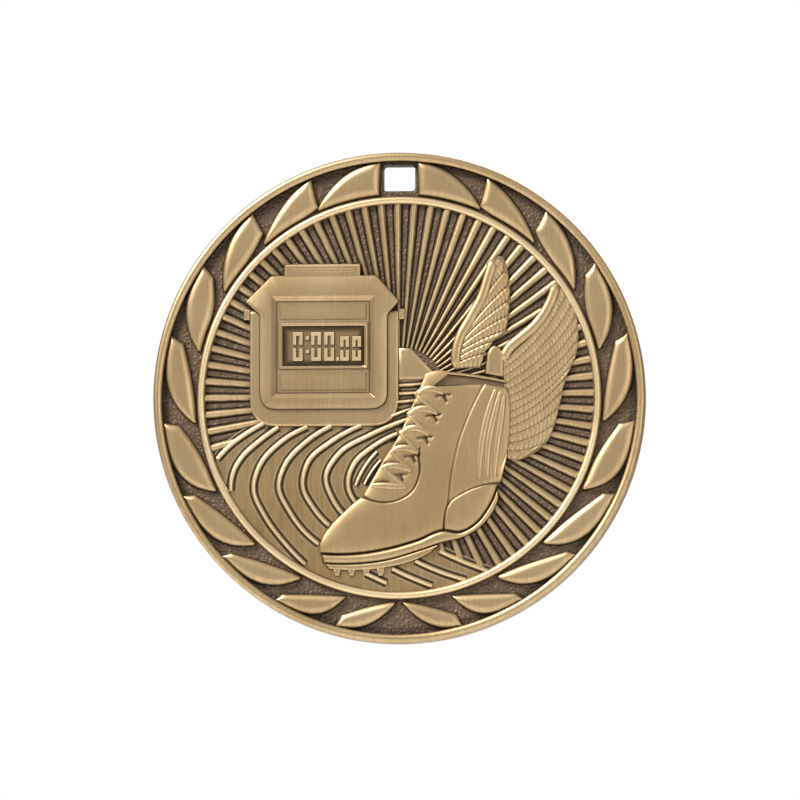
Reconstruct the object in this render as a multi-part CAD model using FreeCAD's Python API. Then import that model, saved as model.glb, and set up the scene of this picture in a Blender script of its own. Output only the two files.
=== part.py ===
"""Two-inch track medal, sized by assumption: a round blank with a ribbon hole and a layered relief.

Everything is drawn in the plane of the medal's face, as (u, v) from the disc's centre with u to
the viewer's right and v up, and heights are counted from the back. `stand_up` then turns the face
towards -Y with v along +Z, and puts the origin in the middle of the ribbon hole.
"""
import FreeCAD, Part
import math
import os

# ---------------------------------------------------------------- driving dimensions, mm
MEDAL_RADIUS = 25.4
THICKNESS = 3.0
FIELD_HEIGHT = 2.0
EDGE_BREAK = 0.25
SMALLEST_AREA = 0.04
SMALLEST_GROUND_AREA = 0.5

HOLE_CENTRE_V = 22.82
HOLE_WIDTH = 3.3
HOLE_DEPTH_V = 2.7
HOLE_CORNER_RADIUS = 0.35

BACK_RECESS_RADIUS = 20.6
BACK_RECESS_DEPTH = 0.2

RIM_INNER_RADIUS = 24.65
RIM_WALL = 0.7
RIM_CREST_RADIUS = 25.0

RING_INNER_RADIUS = 20.05
RING_WIDTH = 0.9
RING_WALL = 0.42
RING_HEIGHT = 0.7

RAY_PITCH_DEG = 5.0
RAY_PHASE_DEG = -0.5
RAY_CENTRE = (0.0, 0.25)
RAY_START_RADIUS = 5.0
RAY_WIDTH = 0.5
RAY_HEIGHT = 0.28

LANE_LINE_WIDTH = 0.42
FINE_LINE_WIDTH = 0.32
LANE_LINE_HEIGHT = 0.3
HILL_HEIGHT = 0.34
TRACK_BED_HEIGHT = 0.1

WATCH_CASE_HEIGHT = 0.45
WATCH_HOUSING_HEIGHT = 0.75
WATCH_DIAL_HEIGHT = 0.4
WATCH_DISPLAY_FRAME_HEIGHT = 0.62
WATCH_PLATE_HEIGHT = 0.5
DIGIT_STROKE = 0.26
DIGIT_HEIGHT = 0.58
DIGIT_FOOT = 3.85

SHOE_LINING_HEIGHT = 0.35
SHOE_TONGUE_HEIGHT = 0.6
SHOE_LACE_HEIGHT = 0.85
SHOE_LACE_WIDTH = 0.75
SHOE_PANEL_HEIGHT = 0.85
SHOE_COUNTER_HEIGHT = 0.95
SHOE_MIDSOLE_HEIGHT = 0.7
SHOE_OUTSOLE_HEIGHT = 0.5
SHOE_SPIKE_HEIGHT = 0.4
STITCH_GROOVE = 0.22
HEEL_STRIPE_WIDTH = 0.3

STRAP_HEIGHT = 0.62
FEATHER_HEIGHT = 0.5
FRONT_FEATHER_HEIGHT = 0.6
LEADING_EDGE_HEIGHT = 0.78
LEADING_EDGE_WIDTH = 0.72
LOWER_FEATHERS = 6
FEATHER_GAP = 0.07

LEAF_HEIGHT = 0.72
LEAF_OUTER_RADIUS = 24.6
LEAF_HUG_RADIUS = 21.1
LEAF_TIP_RADIUS = 21.42
HOLE_SIDE_GAP = 0.15

# Each leaf of one side, from the top down: start and end angle clockwise from the top in degrees, how
# long its outer edge follows the rim (a power), how far its inner edge is lifted off the ring at the
# blunt end in mm, and the share of its length over which that lift dies out.
LEAVES = [
    (4.2, 23.4, 1.9, 0.0, 0.5), (21.6, 41.3, 1.3, 0.5, 0.35), (38.0, 58.6, 1.9, 1.3, 0.6), (55.4, 76.8, 2.8, 2.3, 0.6),
    (74.2, 97.0, 3.0, 2.2, 0.85), (95.6, 117.0, 3.9, 2.1, 0.75), (114.0, 135.6, 3.4, 2.5, 0.95),
    (131.4, 151.5, 3.1, 2.8, 1.05), (148.2, 165.2, 3.8, 2.75, 1.3), (164.2, 179.0, 2.2, 2.4, 1.15),
]
LEAF_BLUNT_SHARE = 0.06

# Centre lines of the seven track lanes, from the far end to the near end of each.
LANES = [
    [(-14.0, -2.6), (-16.0, -3.75), (-17.6, -4.95), (-18.8, -6.25)],
    [(-12.5, -3.0), (-14.5, -4.45), (-16.2, -6.0), (-17.1, -7.5), (-17.4, -9.6)],
    [(-9.5, -3.0), (-12.5, -4.75), (-14.4, -6.9), (-15.05, -9.5), (-14.0, -12.0), (-12.0, -14.8), (-9.7, -17.2)],
    [(-7.0, -2.9), (-9.7, -4.6), (-11.8, -6.9), (-12.45, -9.2), (-11.4, -11.6), (-9.7, -13.9), (-8.3, -15.1)],
    [(-3.9, -2.85), (-7.0, -4.5), (-9.4, -6.6), (-9.95, -9.2), (-8.9, -11.3), (-7.2, -13.2)],
    [(0.8, -2.3), (-3.0, -3.85), (-6.2, -5.75), (-7.6, -8.3), (-7.0, -10.2), (-5.8, -12.0)],
    [(-0.2, -3.75), (-2.6, -5.0), (-4.7, -6.9), (-5.3, -8.9), (-4.5, -10.8)],
]
FAR_LINES = [
    [(0.0, 1.25), (2.4, 1.4)],
    [(0.0, 0.4), (2.1, 0.5)],
    [(-0.6, -0.5), (1.7, -0.3)],
    [(-1.6, -2.35), (0.0, -1.6), (1.3, -1.2)],
]
NEAR_LINES = [
    [(-3.4, -18.2), (-1.3, -19.2)],
    [(-0.7, -17.7), (1.2, -18.6), (3.4, -19.5)],
    [(1.7, -16.9), (4.0, -17.95), (6.9, -18.9)],
    [(4.2, -15.9), (6.6, -17.0), (9.7, -18.2)],
]
INFIELD_LINES = [
    [(-4.5, -9.1), (-3.4, -6.9), (-2.3, -5.6)],
    [(-3.6, -9.0), (-2.8, -7.6), (-1.9, -6.5)],
]

# ---------------------------------------------------------------- drawing helpers


def spot(u, v, height=0.0):
    """A point of the face plane at a height above the back."""
    return FreeCAD.Vector(u, v, height)


def polar(radius, angle_deg, height=0.0):
    """A point at an angle clockwise from the top of the disc."""
    angle = math.radians(angle_deg)
    return spot(radius * math.sin(angle), radius * math.cos(angle), height)


def curve(points):
    """A straight edge through two points, or a smooth curve through more."""
    if len(points) == 2:
        return Part.makeLine(*points)
    spline = Part.BSplineCurve()
    spline.interpolate(points)
    return spline.toShape()


def outline(*spans):
    """A flat face inside spans joined end to end; a span of two points is straight."""
    edges = []
    here = spot(*spans[0][0])
    for index, span in enumerate(spans):
        points = [spot(*uv) for uv in span]
        if index:
            points = [here] + points
        edges.append(curve(points))
        here = points[-1]
    start = spot(*spans[0][0])
    if here.distanceToPoint(start) > 1e-6:
        edges.append(Part.makeLine(here, start))
    return Part.Face(Part.Wire(edges))


def rectangle(left, right, bottom, top):
    """A flat rectangular face."""
    return outline([(left, bottom), (right, bottom)], [(right, top)], [(left, top)])


def clear_of(face, *others, smallest=SMALLEST_AREA):
    """The part of a flat face outside the other faces, with crumbs thrown away."""
    rest = face.cut(list(others)) if others else face
    return Part.Compound([piece for piece in rest.Faces if piece.Area > smallest])


def raised(plan, height, base=0.0):
    """Every face of the plan as a solid from `base` to `height` above the field."""
    solids = []
    for face in plan.Faces:
        solid = face.extrude(FreeCAD.Vector(0, 0, height - base))
        solid.translate(FreeCAD.Vector(0, 0, FIELD_HEIGHT + base))
        solids.append(solid)
    return Part.Compound(solids)


def together(faces):
    """Faces of one plane joined into one plan."""
    return faces[0].multiFuse(faces[1:])


def ribbon(points, width):
    """A flat strip of even width along a curve through the points."""
    edge = curve([spot(*uv) for uv in points])
    count = 2 if len(points) == 2 else 3 * len(points)
    sides = ([], [])
    for step in range(count):
        at = edge.FirstParameter + (edge.LastParameter - edge.FirstParameter) * step / (count - 1)
        point = edge.valueAt(at)
        along = edge.tangentAt(at)
        across = FreeCAD.Vector(-along.y, along.x, 0) * (width / 2)
        sides[0].append(point + across)
        sides[1].append(point - across)
    ends = [Part.makeLine(sides[0][-1], sides[1][-1]), Part.makeLine(sides[1][0], sides[0][0])]
    return Part.Face(Part.Wire([curve(sides[0]), ends[0], curve(sides[1][::-1]), ends[1]]))


def revolved(profile):
    """A ring turned from a closed profile of edges in the radius-height plane."""
    face = Part.Face(Part.Wire(profile))
    return face.revolve(spot(0, 0), spot(0, 0, 1), 360)


def section(radius, height):
    """A point of a turned profile."""
    return FreeCAD.Vector(radius, 0, height)


# ---------------------------------------------------------------- blank, rim and ring


def medal_body():
    """The struck blank: a disc with the ribbon hole and a shallow engraving recess in its back."""
    disc = Part.makeCylinder(MEDAL_RADIUS, FIELD_HEIGHT)
    back_edge = [edge for edge in disc.Edges if edge.isClosed() and edge.CenterOfMass.z < FIELD_HEIGHT / 2]
    disc = disc.makeChamfer(EDGE_BREAK, back_edge)
    disc = disc.cut(Part.makeCylinder(BACK_RECESS_RADIUS, BACK_RECESS_DEPTH))
    return disc.cut(ribbon_hole(0.0))


def ribbon_hole(margin):
    """The rounded rectangular hole, grown by a margin on every side."""
    block = Part.makeBox(HOLE_WIDTH + 2 * margin, HOLE_DEPTH_V + 2 * margin, 3 * THICKNESS,
                         spot(-HOLE_WIDTH / 2 - margin, HOLE_CENTRE_V - HOLE_DEPTH_V / 2 - margin, -THICKNESS))
    upright = [edge for edge in block.Edges if abs(edge.tangentAt(edge.FirstParameter).z) > 0.9]
    return block.makeFillet(HOLE_CORNER_RADIUS, upright)


def outer_rim():
    """The raised rim with a rounded crest."""
    shoulder = FIELD_HEIGHT + RIM_WALL
    inner_foot = section(RIM_INNER_RADIUS, FIELD_HEIGHT)
    inner_top = section(RIM_INNER_RADIUS, shoulder)
    crest = section(RIM_CREST_RADIUS, THICKNESS)
    outer_top = section(MEDAL_RADIUS, shoulder)
    outer_foot = section(MEDAL_RADIUS, FIELD_HEIGHT)
    crown = Part.Arc(inner_top, crest, outer_top).toShape()
    return revolved([Part.makeLine(inner_foot, inner_top), crown,
                     Part.makeLine(outer_top, outer_foot), Part.makeLine(outer_foot, inner_foot)])


def picture_disc():
    """The flat disc inside the ring that holds the picture."""
    return Part.Face(Part.Wire(Part.makeCircle(RING_INNER_RADIUS)))


def inner_ring():
    """The half-round ring between the wreath and the picture."""
    outer_radius = RING_INNER_RADIUS + RING_WIDTH
    inner_foot = section(RING_INNER_RADIUS, FIELD_HEIGHT)
    inner_top = section(RING_INNER_RADIUS, FIELD_HEIGHT + RING_WALL)
    crest = section(RING_INNER_RADIUS + RING_WIDTH / 2, FIELD_HEIGHT + RING_HEIGHT)
    outer_top = section(outer_radius, FIELD_HEIGHT + RING_WALL)
    outer_foot = section(outer_radius, FIELD_HEIGHT)
    crown = Part.Arc(inner_top, crest, outer_top).toShape()
    return revolved([Part.makeLine(inner_foot, inner_top), crown,
                     Part.makeLine(outer_top, outer_foot), Part.makeLine(outer_foot, inner_foot)])


# ---------------------------------------------------------------- wreath


def leaf_edges(fullness, lift, reach, along):
    """Outer and inner radius of a leaf at a fraction of its length from the blunt end."""
    outer = LEAF_OUTER_RADIUS - (LEAF_OUTER_RADIUS - LEAF_TIP_RADIUS) * along ** fullness
    inner = LEAF_HUG_RADIUS + lift * max(0.0, 1.0 - along / reach) ** 2
    return outer, min(inner, outer - 0.06)


def leaf_wire(start, end, shape, inset, height):
    """The leaf's closed outline at one height, drawn in towards its middle by `inset` (0 to 1)."""
    outer_points = []
    inner_points = []
    for step in range(6):
        share = inset * 0.3 + (1 - inset * 0.55) * step / 5
        inner_share = LEAF_BLUNT_SHARE + (1 - LEAF_BLUNT_SHARE) * share
        outer_radius = leaf_edges(*shape, share)[0]
        inner_radius = leaf_edges(*shape, inner_share)[1]
        middle = (outer_radius + inner_radius) / 2
        outer_points.append(polar(outer_radius + (middle - outer_radius) * inset, start + (end - start) * share, height))
        inner_points.append(polar(inner_radius + (middle - inner_radius) * inset,
                                  start + (end - start) * inner_share, height))
    return Part.Wire([curve(outer_points), Part.makeLine(outer_points[-1], inner_points[-1]),
                      curve(inner_points[::-1]), Part.makeLine(inner_points[0], outer_points[0])])


def leaf(start, end, *shape):
    """One leaf of the right-hand branch, rising in two steps to a rounded back."""
    wires = [leaf_wire(start, end, shape, 0.0, FIELD_HEIGHT),
             leaf_wire(start, end, shape, 0.3, FIELD_HEIGHT + 0.7 * LEAF_HEIGHT),
             leaf_wire(start, end, shape, 0.75, FIELD_HEIGHT + LEAF_HEIGHT)]
    return Part.makeLoft(wires, True, True).cut(ribbon_hole(HOLE_SIDE_GAP))


def mirrored(shape):
    """The same shape on the other side of the vertical middle."""
    return shape.mirror(spot(0, 0), FreeCAD.Vector(1, 0, 0))


# ---------------------------------------------------------------- stopwatch


def watch_case_face():
    """The rear shell of the stopwatch, seen as a band around the housing."""
    return outline([(-15.5, 8.9), (-15.5, 0.0)], [(-15.0, -1.7)], [(-13.6, -3.0)], [(-2.6, -3.0)],
                   [(-0.5, -1.6)], [(0.0, -0.2)], [(0.0, 8.9)])


def watch_housing_face():
    """The front housing with its sloping shoulders."""
    return outline([(-13.2, 12.7), (-15.9, 9.95)], [(-14.45, 8.75)], [(-14.45, 0.0)], [(-13.0, -1.25)],
                   [(-2.6, -1.25)], [(-1.15, 0.0)], [(-1.15, 8.75)], [(0.05, 9.95)], [(-2.3, 12.7)])


def watch_recess_face():
    """The sunken face of the stopwatch."""
    return rectangle(-12.7, -3.0, 0.45, 10.05)


def watch_crown_face():
    """The wide crown block on top."""
    return rectangle(-11.9, -4.0, 12.7, 13.85)


def watch_pusher_faces():
    """Two small side pushers under the shoulders."""
    return [rectangle(-16.1, -15.5, 8.1, 9.2), rectangle(0.0, 0.6, 8.1, 9.2)]


def digit(left, right, bottom, top):
    """A zero in segments: an arch over a cup with a small gap between them."""
    middle = (bottom + top) / 2
    gap = DIGIT_STROKE / 2
    faces = []
    for low, high, hollow_low, hollow_high in (
            (middle + gap, top, middle, top - DIGIT_STROKE), (bottom, middle - gap, bottom + DIGIT_STROKE, middle)):
        hollow = rectangle(left + DIGIT_STROKE, right - DIGIT_STROKE, hollow_low, hollow_high)
        faces += rectangle(left, right, low, high).cut(hollow).Faces
    return faces


def watch_digits():
    """The generic reading 0:00.00."""
    faces = []
    for left, right, top in ((-11.0, -9.95, 6.8), (-9.1, -8.05, 6.8), (-7.75, -6.7, 6.8),
                             (-6.1, -5.15, 6.35), (-4.85, -3.9, 6.35)):
        faces += digit(left, right, DIGIT_FOOT, top)
    for u, v in ((-9.66, 6.0), (-9.66, 4.6), (-6.54, DIGIT_FOOT)):
        faces.append(rectangle(u, u + DIGIT_STROKE, v, v + DIGIT_STROKE))
    return raised(Part.Compound(faces), DIGIT_HEIGHT, WATCH_DIAL_HEIGHT)


def watch_display_frame():
    """The border around the display window."""
    border = rectangle(-12.45, -3.2, 2.95, 7.85).cut(rectangle(-12.05, -3.6, 3.3, 7.45))
    return raised(border, WATCH_DISPLAY_FRAME_HEIGHT, WATCH_DIAL_HEIGHT)


def watch_nameplates():
    """Two blank plates above and below the display."""
    plates = [rectangle(-12.3, -3.4, low, high) for low, high in ((8.15, 9.7), (0.8, 2.65))]
    return raised(Part.Compound(plates), WATCH_PLATE_HEIGHT, WATCH_DIAL_HEIGHT)


# ---------------------------------------------------------------- shoe

INSTEP = [(-8.1, -16.1), (-8.15, -15.2), (-7.2, -13.5), (-5.9, -12.1), (-4.7, -11.0), (-3.7, -10.2)]
TONGUE_FRONT = [(-2.9, -8.8), (-1.6, -6.5), (-0.2, -4.3), (1.2, -1.2), (2.1, 0.9), (2.7, 2.4)]
TONGUE_TOP = [(4.0, 2.8), (5.4, 2.6)]
COLLAR_BACK = [(8.0, 2.3), (10.9, 1.7)]
HEEL = [(11.35, 0.2), (11.5, -3.0), (11.2, -5.6), (10.4, -7.6), (10.2, -9.2)]
SOLE_LINE = [(10.2, -9.2), (9.2, -11.5), (7.8, -13.2), (6.3, -13.95), (4.6, -13.75), (2.0, -14.75), (-1.0, -15.6),
             (-4.0, -16.1), (-8.1, -16.1)]
COLLAR_FRONT = [(3.4, 1.0), (5.0, 1.25), (7.0, 1.3), (9.0, 1.15), (11.3, 0.95)]
LACING_EDGE = [(3.4, 1.0), (4.2, -0.2), (3.3, -2.6), (2.1, -5.6), (2.1, -8.0), (1.3, -9.8), (-0.9, -10.85), (-3.7, -10.3)]
QUARTER_SEAM = [(8.8, 1.3), (7.4, -1.4), (6.3, -4.2), (5.6, -7.0), (5.25, -9.4), (5.1, -11.1)]
COUNTER_SEAM = [(4.7, -14.0), (4.75, -12.2), (5.1, -11.1), (6.6, -9.95), (8.3, -9.25), (10.6, -8.95)]
HEEL_STRIPES = [
    [(10.0, 0.7), (9.3, -1.4), (8.6, -4.4), (8.3, -8.6)],
    [(10.5, 0.5), (9.9, -1.8), (9.3, -4.6), (9.15, -8.4)],
    [(10.9, 0.0), (10.6, -2.2), (10.15, -5.0), (9.9, -8.3)],
]
LACES = [
    [(1.9, 0.3), (3.4, 0.75), (4.5, 0.35)],
    [(1.0, -1.75), (2.5, -1.25), (3.9, -1.7)],
    [(0.2, -3.7), (1.5, -3.3), (3.0, -3.85)],
    [(-0.8, -5.6), (0.5, -5.35), (1.9, -5.75)],
    [(-1.7, -7.2), (-0.3, -7.25), (1.2, -7.6)],
    [(-2.7, -9.0), (-1.0, -9.3), (0.6, -9.25)],
]


def shoe_upper_face():
    """The whole upper, from the toe over the instep and collar to the heel."""
    return outline(INSTEP, TONGUE_FRONT, TONGUE_TOP, COLLAR_BACK, HEEL, SOLE_LINE[1:])


def shoe_lacing_face():
    """The strip under the laces, with the tongue's tip."""
    return outline(INSTEP[-1:] + TONGUE_FRONT, TONGUE_TOP, LACING_EDGE[:1], LACING_EDGE[1:-1] + INSTEP[-1:])


def shoe_collar_face():
    """The ankle opening between the tongue and the back of the collar."""
    return outline(COLLAR_FRONT, [(11.3, 3.2)], [(5.4, 3.2)], [(5.4, 2.6)])


def shoe_counter_face():
    """The heel counter's corner of the upper."""
    return outline(COUNTER_SEAM, [(12.0, -15.0)], [(4.7, -15.0)])


def shoe_quarter_face():
    """Everything behind the side seam."""
    return outline(QUARTER_SEAM, [(12.5, -11.1)], [(12.5, 1.3)])


def shoe_midsole_face():
    """The foam band under the upper."""
    return outline(SOLE_LINE[::-1], [(10.3, -10.6), (9.6, -12.1), (8.4, -13.5), (6.6, -14.55), (4.4, -15.1),
                                     (1.8, -15.95), (-1.2, -16.8), (-4.0, -17.15), (-7.9, -17.1)])


def shoe_outsole_face():
    """The spike plate under the forefoot."""
    return outline([(-7.9, -17.1), (-4.0, -17.15), (-1.2, -16.8), (1.8, -15.95), (4.4, -15.1)],
                   [(3.2, -16.1), (1.0, -17.1), (-1.2, -17.6), (-4.0, -17.9), (-7.3, -17.75)])


def shoe_spike_faces():
    """Four short spikes under the plate."""
    return [outline([(u - 0.42, -17.7), (u - 0.22, -18.45)], [(u + 0.22, -18.45)], [(u + 0.42, -17.7)])
            for u in (-6.4, -4.9, -3.4, -1.9)]


# ---------------------------------------------------------------- wings

FRONT_WING = {
    "root_low": (6.0, 2.9), "root_high": (7.3, 8.0), "bow": -0.03,
    "tips": [(8.4, 3.0), (8.9, 4.6), (9.8, 5.75), (10.9, 6.6), (11.3, 8.4), (11.45, 10.4), (11.35, 12.4), (10.3, 14.6)],
    "leading": [(5.95, 2.9), (5.9, 4.4), (6.3, 6.1), (7.5, 8.3), (8.6, 10.4), (9.25, 12.4), (9.85, 14.35)],
    "feathers": 8,
}
REAR_WING = {
    "root_low": (11.25, -6.4), "root_high": (10.75, 3.6), "bow": 0.1,
    "tips": [(12.6, -6.5), (15.4, -4.5), (16.4, -1.6), (17.2, 1.8), (18.3, 4.3), (18.5, 6.7), (18.35, 8.2), (16.6, 11.5)],
    "leading": [(10.75, 3.6), (11.3, 4.9), (12.6, 6.1), (14.0, 7.3), (15.2, 8.9), (15.9, 10.4), (16.25, 11.7)],
    "feathers": 13,
}


def feather_line(wing, share, points=5):
    """A feather's side from the root line to the trailing edge; share 0 is the lowest feather."""
    tips = curve([spot(*uv) for uv in wing["tips"]])
    low = spot(*wing["root_low"])
    root = low + (spot(*wing["root_high"]) - low) * share
    tip = tips.valueAt(tips.FirstParameter + (tips.LastParameter - tips.FirstParameter) * share)
    reach = tip - root
    sag = FreeCAD.Vector(reach.y, -reach.x, 0) * wing["bow"]
    line = []
    for step in range(points):
        along = step / (points - 1)
        line.append(root + reach * along + sag * (4 * along * (1 - along)))
    return line


def wing_face(wing):
    """The whole wing in plan, for cutting what lies behind it."""
    tips = curve([spot(*uv) for uv in wing["tips"]])
    low = feather_line(wing, 0.0)
    lead = [spot(*uv) for uv in wing["leading"]]
    edges = [curve(low), tips]
    if tips.lastVertex().Point.distanceToPoint(lead[-1]) > 1e-6:
        edges.append(Part.makeLine(tips.lastVertex().Point, lead[-1]))
    return Part.Face(Part.Wire(edges + [curve(lead[::-1]), Part.makeLine(lead[0], low[0])]))


def wing_feathers(wing, first, last):
    """Feathers from index `first` up to `last`, each a strip with a fine gap to the next."""
    count = wing["feathers"]
    faces = []
    for index in range(first, last):
        low = feather_line(wing, (index + FEATHER_GAP) / count)
        high = feather_line(wing, (index + 1 - FEATHER_GAP) / count)
        faces.append(Part.Face(Part.Wire([curve(low), Part.makeLine(low[-1], high[-1]),
                                          curve(high[::-1]), Part.makeLine(high[0], low[0])])))
    return Part.Compound(faces)


def leading_edge_face(wing):
    """The strong bright band along the front of a wing."""
    return ribbon(wing["leading"], LEADING_EDGE_WIDTH)


def strap_face():
    """The ankle strap that holds the wings, with a rounded top."""
    return outline([(8.8, 2.45), (9.0, 4.4), (9.5, 5.2), (10.2, 5.3), (10.6, 4.6)], [(10.45, 3.3)], [(10.45, 2.0)])


# ---------------------------------------------------------------- background


def hill_face():
    """The low hill on the horizon beside the stopwatch."""
    return outline([(0.0, 2.1), (0.0, 5.1)], [(1.2, 5.1)], [(3.5, 2.6)], [(2.6, 2.1)])


def track_ground_face():
    """The lower left of the picture, which the track covers and the rays do not."""
    return outline([(-14.0, -2.6), (-16.0, -3.75), (-17.6, -4.95), (-19.5, -7.0)], [(-19.5, -22.0)], [(9.7, -22.0)],
                   [(9.7, -18.2)], [(4.2, -15.9)], [(4.2, 2.1)], [(-14.0, 2.1)])


def track_bed_face():
    """The smooth ground under the track lines, out to the far sides of the outermost two."""
    borders = [ribbon(route, LANE_LINE_WIDTH) for route in (LANES[0], NEAR_LINES[-1])]
    return together([track_ground_face(), *borders])


def sun_rays(blockers):
    """Evenly spaced ridges that spread from the horizon to the ring, behind everything else."""
    rays = []
    for index in range(int(360 / RAY_PITCH_DEG)):
        ray = outline([(-RAY_WIDTH / 6, RAY_START_RADIUS), (RAY_WIDTH / 6, RAY_START_RADIUS)],
                      [(RAY_WIDTH / 2, MEDAL_RADIUS)], [(-RAY_WIDTH / 2, MEDAL_RADIUS)])
        ray.rotate(spot(0, 0), spot(0, 0, 1), -RAY_PITCH_DEG * index - RAY_PHASE_DEG)
        ray.translate(spot(*RAY_CENTRE))
        rays += clear_of(ray.common(picture_disc()), blockers).Faces
    return raised(Part.Compound(rays), RAY_HEIGHT)


def lines(routes, blockers, width=LANE_LINE_WIDTH):
    """Raised lines along the routes on the track bed, cut back where something stands in front."""
    faces = []
    for route in routes:
        faces += clear_of(ribbon(route, width).common(picture_disc()), blockers).Faces
    return raised(Part.Compound(faces), LANE_LINE_HEIGHT, TRACK_BED_HEIGHT)


# ---------------------------------------------------------------- assembly


def stand_up(shape):
    """Turn the face towards -Y with v up, and move the hole's centre to the origin."""
    turned = Part.Compound([shape.copy()]) if shape.ShapeType != "Compound" else shape.copy()
    turned.Placement = FreeCAD.Placement(FreeCAD.Vector(0, THICKNESS / 2, -HOLE_CENTRE_V),
                                         FreeCAD.Rotation(FreeCAD.Vector(1, 0, 0), 90))
    return turned


def write(name, shape):
    """Check one sub-part and export it."""
    solids = shape.Solids
    assert solids and all(solid.isValid() and solid.Volume > 0 for solid in solids), name
    stand_up(Part.Compound(solids) if len(solids) > 1 else solids[0]).exportStep("parts/" + name + ".step")
    print("%-28s %3d solids %9.3f mm3" % (name, len(solids), sum(solid.Volume for solid in solids)))


def build_blank():
    """Blank, rim, ring and the two branches of the wreath."""
    write("medal_body", medal_body())
    write("outer_rim", outer_rim())
    write("inner_ring", inner_ring())
    for number, values in enumerate(LEAVES, 1):
        right = leaf(*values)
        write("leaf_right_%02d" % number, right)
        write("leaf_left_%02d" % number, mirrored(right))


def build_watch():
    """The stopwatch, from its rear shell to the digits."""
    case, housing = watch_case_face(), watch_housing_face()
    write("watch_case", raised(clear_of(case, housing), WATCH_CASE_HEIGHT))
    write("watch_housing", raised(clear_of(housing, watch_recess_face()), WATCH_HOUSING_HEIGHT))
    write("watch_crown", raised(watch_crown_face(), WATCH_HOUSING_HEIGHT))
    write("watch_pushers", raised(Part.Compound(watch_pusher_faces()), WATCH_CASE_HEIGHT))
    write("watch_dial", raised(watch_recess_face(), WATCH_DIAL_HEIGHT))
    write("watch_display_frame", watch_display_frame())
    write("watch_nameplates", watch_nameplates())
    write("watch_digits", watch_digits())


def build_shoe():
    """The running shoe, panel by panel, with a fine groove along every seam."""
    upper, lacing, collar = shoe_upper_face(), shoe_lacing_face(), shoe_collar_face()
    counter, quarter = shoe_counter_face(), shoe_quarter_face()
    seams = [ribbon(route, STITCH_GROOVE) for route in (QUARTER_SEAM, COUNTER_SEAM, LACING_EDGE)]
    side_seam, counter_seam, lacing_seam = seams
    laces = Part.Compound([ribbon(route, SHOE_LACE_WIDTH) for route in LACES])
    stripes = Part.Compound([ribbon(route, HEEL_STRIPE_WIDTH) for route in HEEL_STRIPES])
    spikes = Part.Compound(shoe_spike_faces())
    write("shoe_tongue", raised(clear_of(lacing, lacing_seam), SHOE_TONGUE_HEIGHT))
    write("shoe_lining", raised(clear_of(upper.common(collar), lacing, lacing_seam), SHOE_LINING_HEIGHT))
    write("shoe_vamp", raised(clear_of(upper, lacing, collar, quarter, counter, *seams), SHOE_PANEL_HEIGHT))
    back_panel = upper.common(quarter)
    write("shoe_quarter", raised(clear_of(back_panel, collar, counter, side_seam, counter_seam), SHOE_PANEL_HEIGHT))
    write("shoe_heel_counter", raised(clear_of(upper.common(counter), counter_seam), SHOE_COUNTER_HEIGHT))
    write("shoe_heel_stripes", raised(stripes, SHOE_COUNTER_HEIGHT, SHOE_PANEL_HEIGHT))
    write("shoe_laces", raised(clear_of(laces.common(lacing), lacing_seam), SHOE_LACE_HEIGHT, SHOE_TONGUE_HEIGHT))
    write("shoe_midsole", raised(shoe_midsole_face(), SHOE_MIDSOLE_HEIGHT))
    write("shoe_outsole", raised(shoe_outsole_face(), SHOE_OUTSOLE_HEIGHT))
    write("shoe_spikes", raised(clear_of(spikes, shoe_outsole_face(), shoe_midsole_face()), SHOE_SPIKE_HEIGHT))


def build_wings():
    """Both wings and the strap between them, trimmed behind what stands in front."""
    shoe = [shoe_upper_face(), shoe_midsole_face()]
    front_lead = leading_edge_face(FRONT_WING)
    rear_lead = leading_edge_face(REAR_WING)
    front = [wing_face(FRONT_WING), front_lead]
    behind = shoe + front + [strap_face()]
    front_feathers = wing_feathers(FRONT_WING, 0, FRONT_WING["feathers"])
    write("ankle_strap", raised(clear_of(strap_face(), shoe[0], *front), STRAP_HEIGHT))
    write("front_wing_leading_edge", raised(clear_of(front_lead, shoe[0]), LEADING_EDGE_HEIGHT))
    write("front_wing_feathers", raised(clear_of(front_feathers, front_lead, shoe[0]), FRONT_FEATHER_HEIGHT))
    write("rear_wing_leading_edge", raised(clear_of(rear_lead.common(picture_disc()), *behind), LEADING_EDGE_HEIGHT))
    groups = {"rear_wing_lower_feathers": (0, LOWER_FEATHERS),
              "rear_wing_long_feathers": (LOWER_FEATHERS, REAR_WING["feathers"])}
    for name, (first, last) in groups.items():
        feathers = wing_feathers(REAR_WING, first, last).common(picture_disc())
        write(name, raised(clear_of(feathers, rear_lead, *behind), FEATHER_HEIGHT))


def build_background():
    """Rays, horizon and track lines, all cut back behind the shoe, wings and stopwatch."""
    front = together([
        watch_case_face(), watch_housing_face(), watch_crown_face(), *watch_pusher_faces(), shoe_upper_face(),
        shoe_midsole_face(), shoe_outsole_face(), *shoe_spike_faces(), strap_face(), wing_face(FRONT_WING),
        wing_face(REAR_WING), leading_edge_face(FRONT_WING), leading_edge_face(REAR_WING)])
    bed = track_bed_face()
    write("horizon_hill", raised(clear_of(hill_face(), front), HILL_HEIGHT))
    ground = clear_of(bed.common(picture_disc()), front, hill_face(), smallest=SMALLEST_GROUND_AREA)
    write("track_bed", raised(ground, TRACK_BED_HEIGHT))
    for number, route in enumerate(LANES, 1):
        write("lane_line_%d" % number, lines([route], front))
    write("far_lane_lines", lines(FAR_LINES, together([front, hill_face()]), FINE_LINE_WIDTH))
    write("near_lane_lines", lines(NEAR_LINES, front))
    write("infield_lines", lines(INFIELD_LINES, front, FINE_LINE_WIDTH))
    write("sun_rays", sun_rays(together([front, hill_face(), bed])))


os.makedirs("parts", exist_ok=True)
build_blank()
build_watch()
build_shoe()
build_wings()
build_background()
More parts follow.
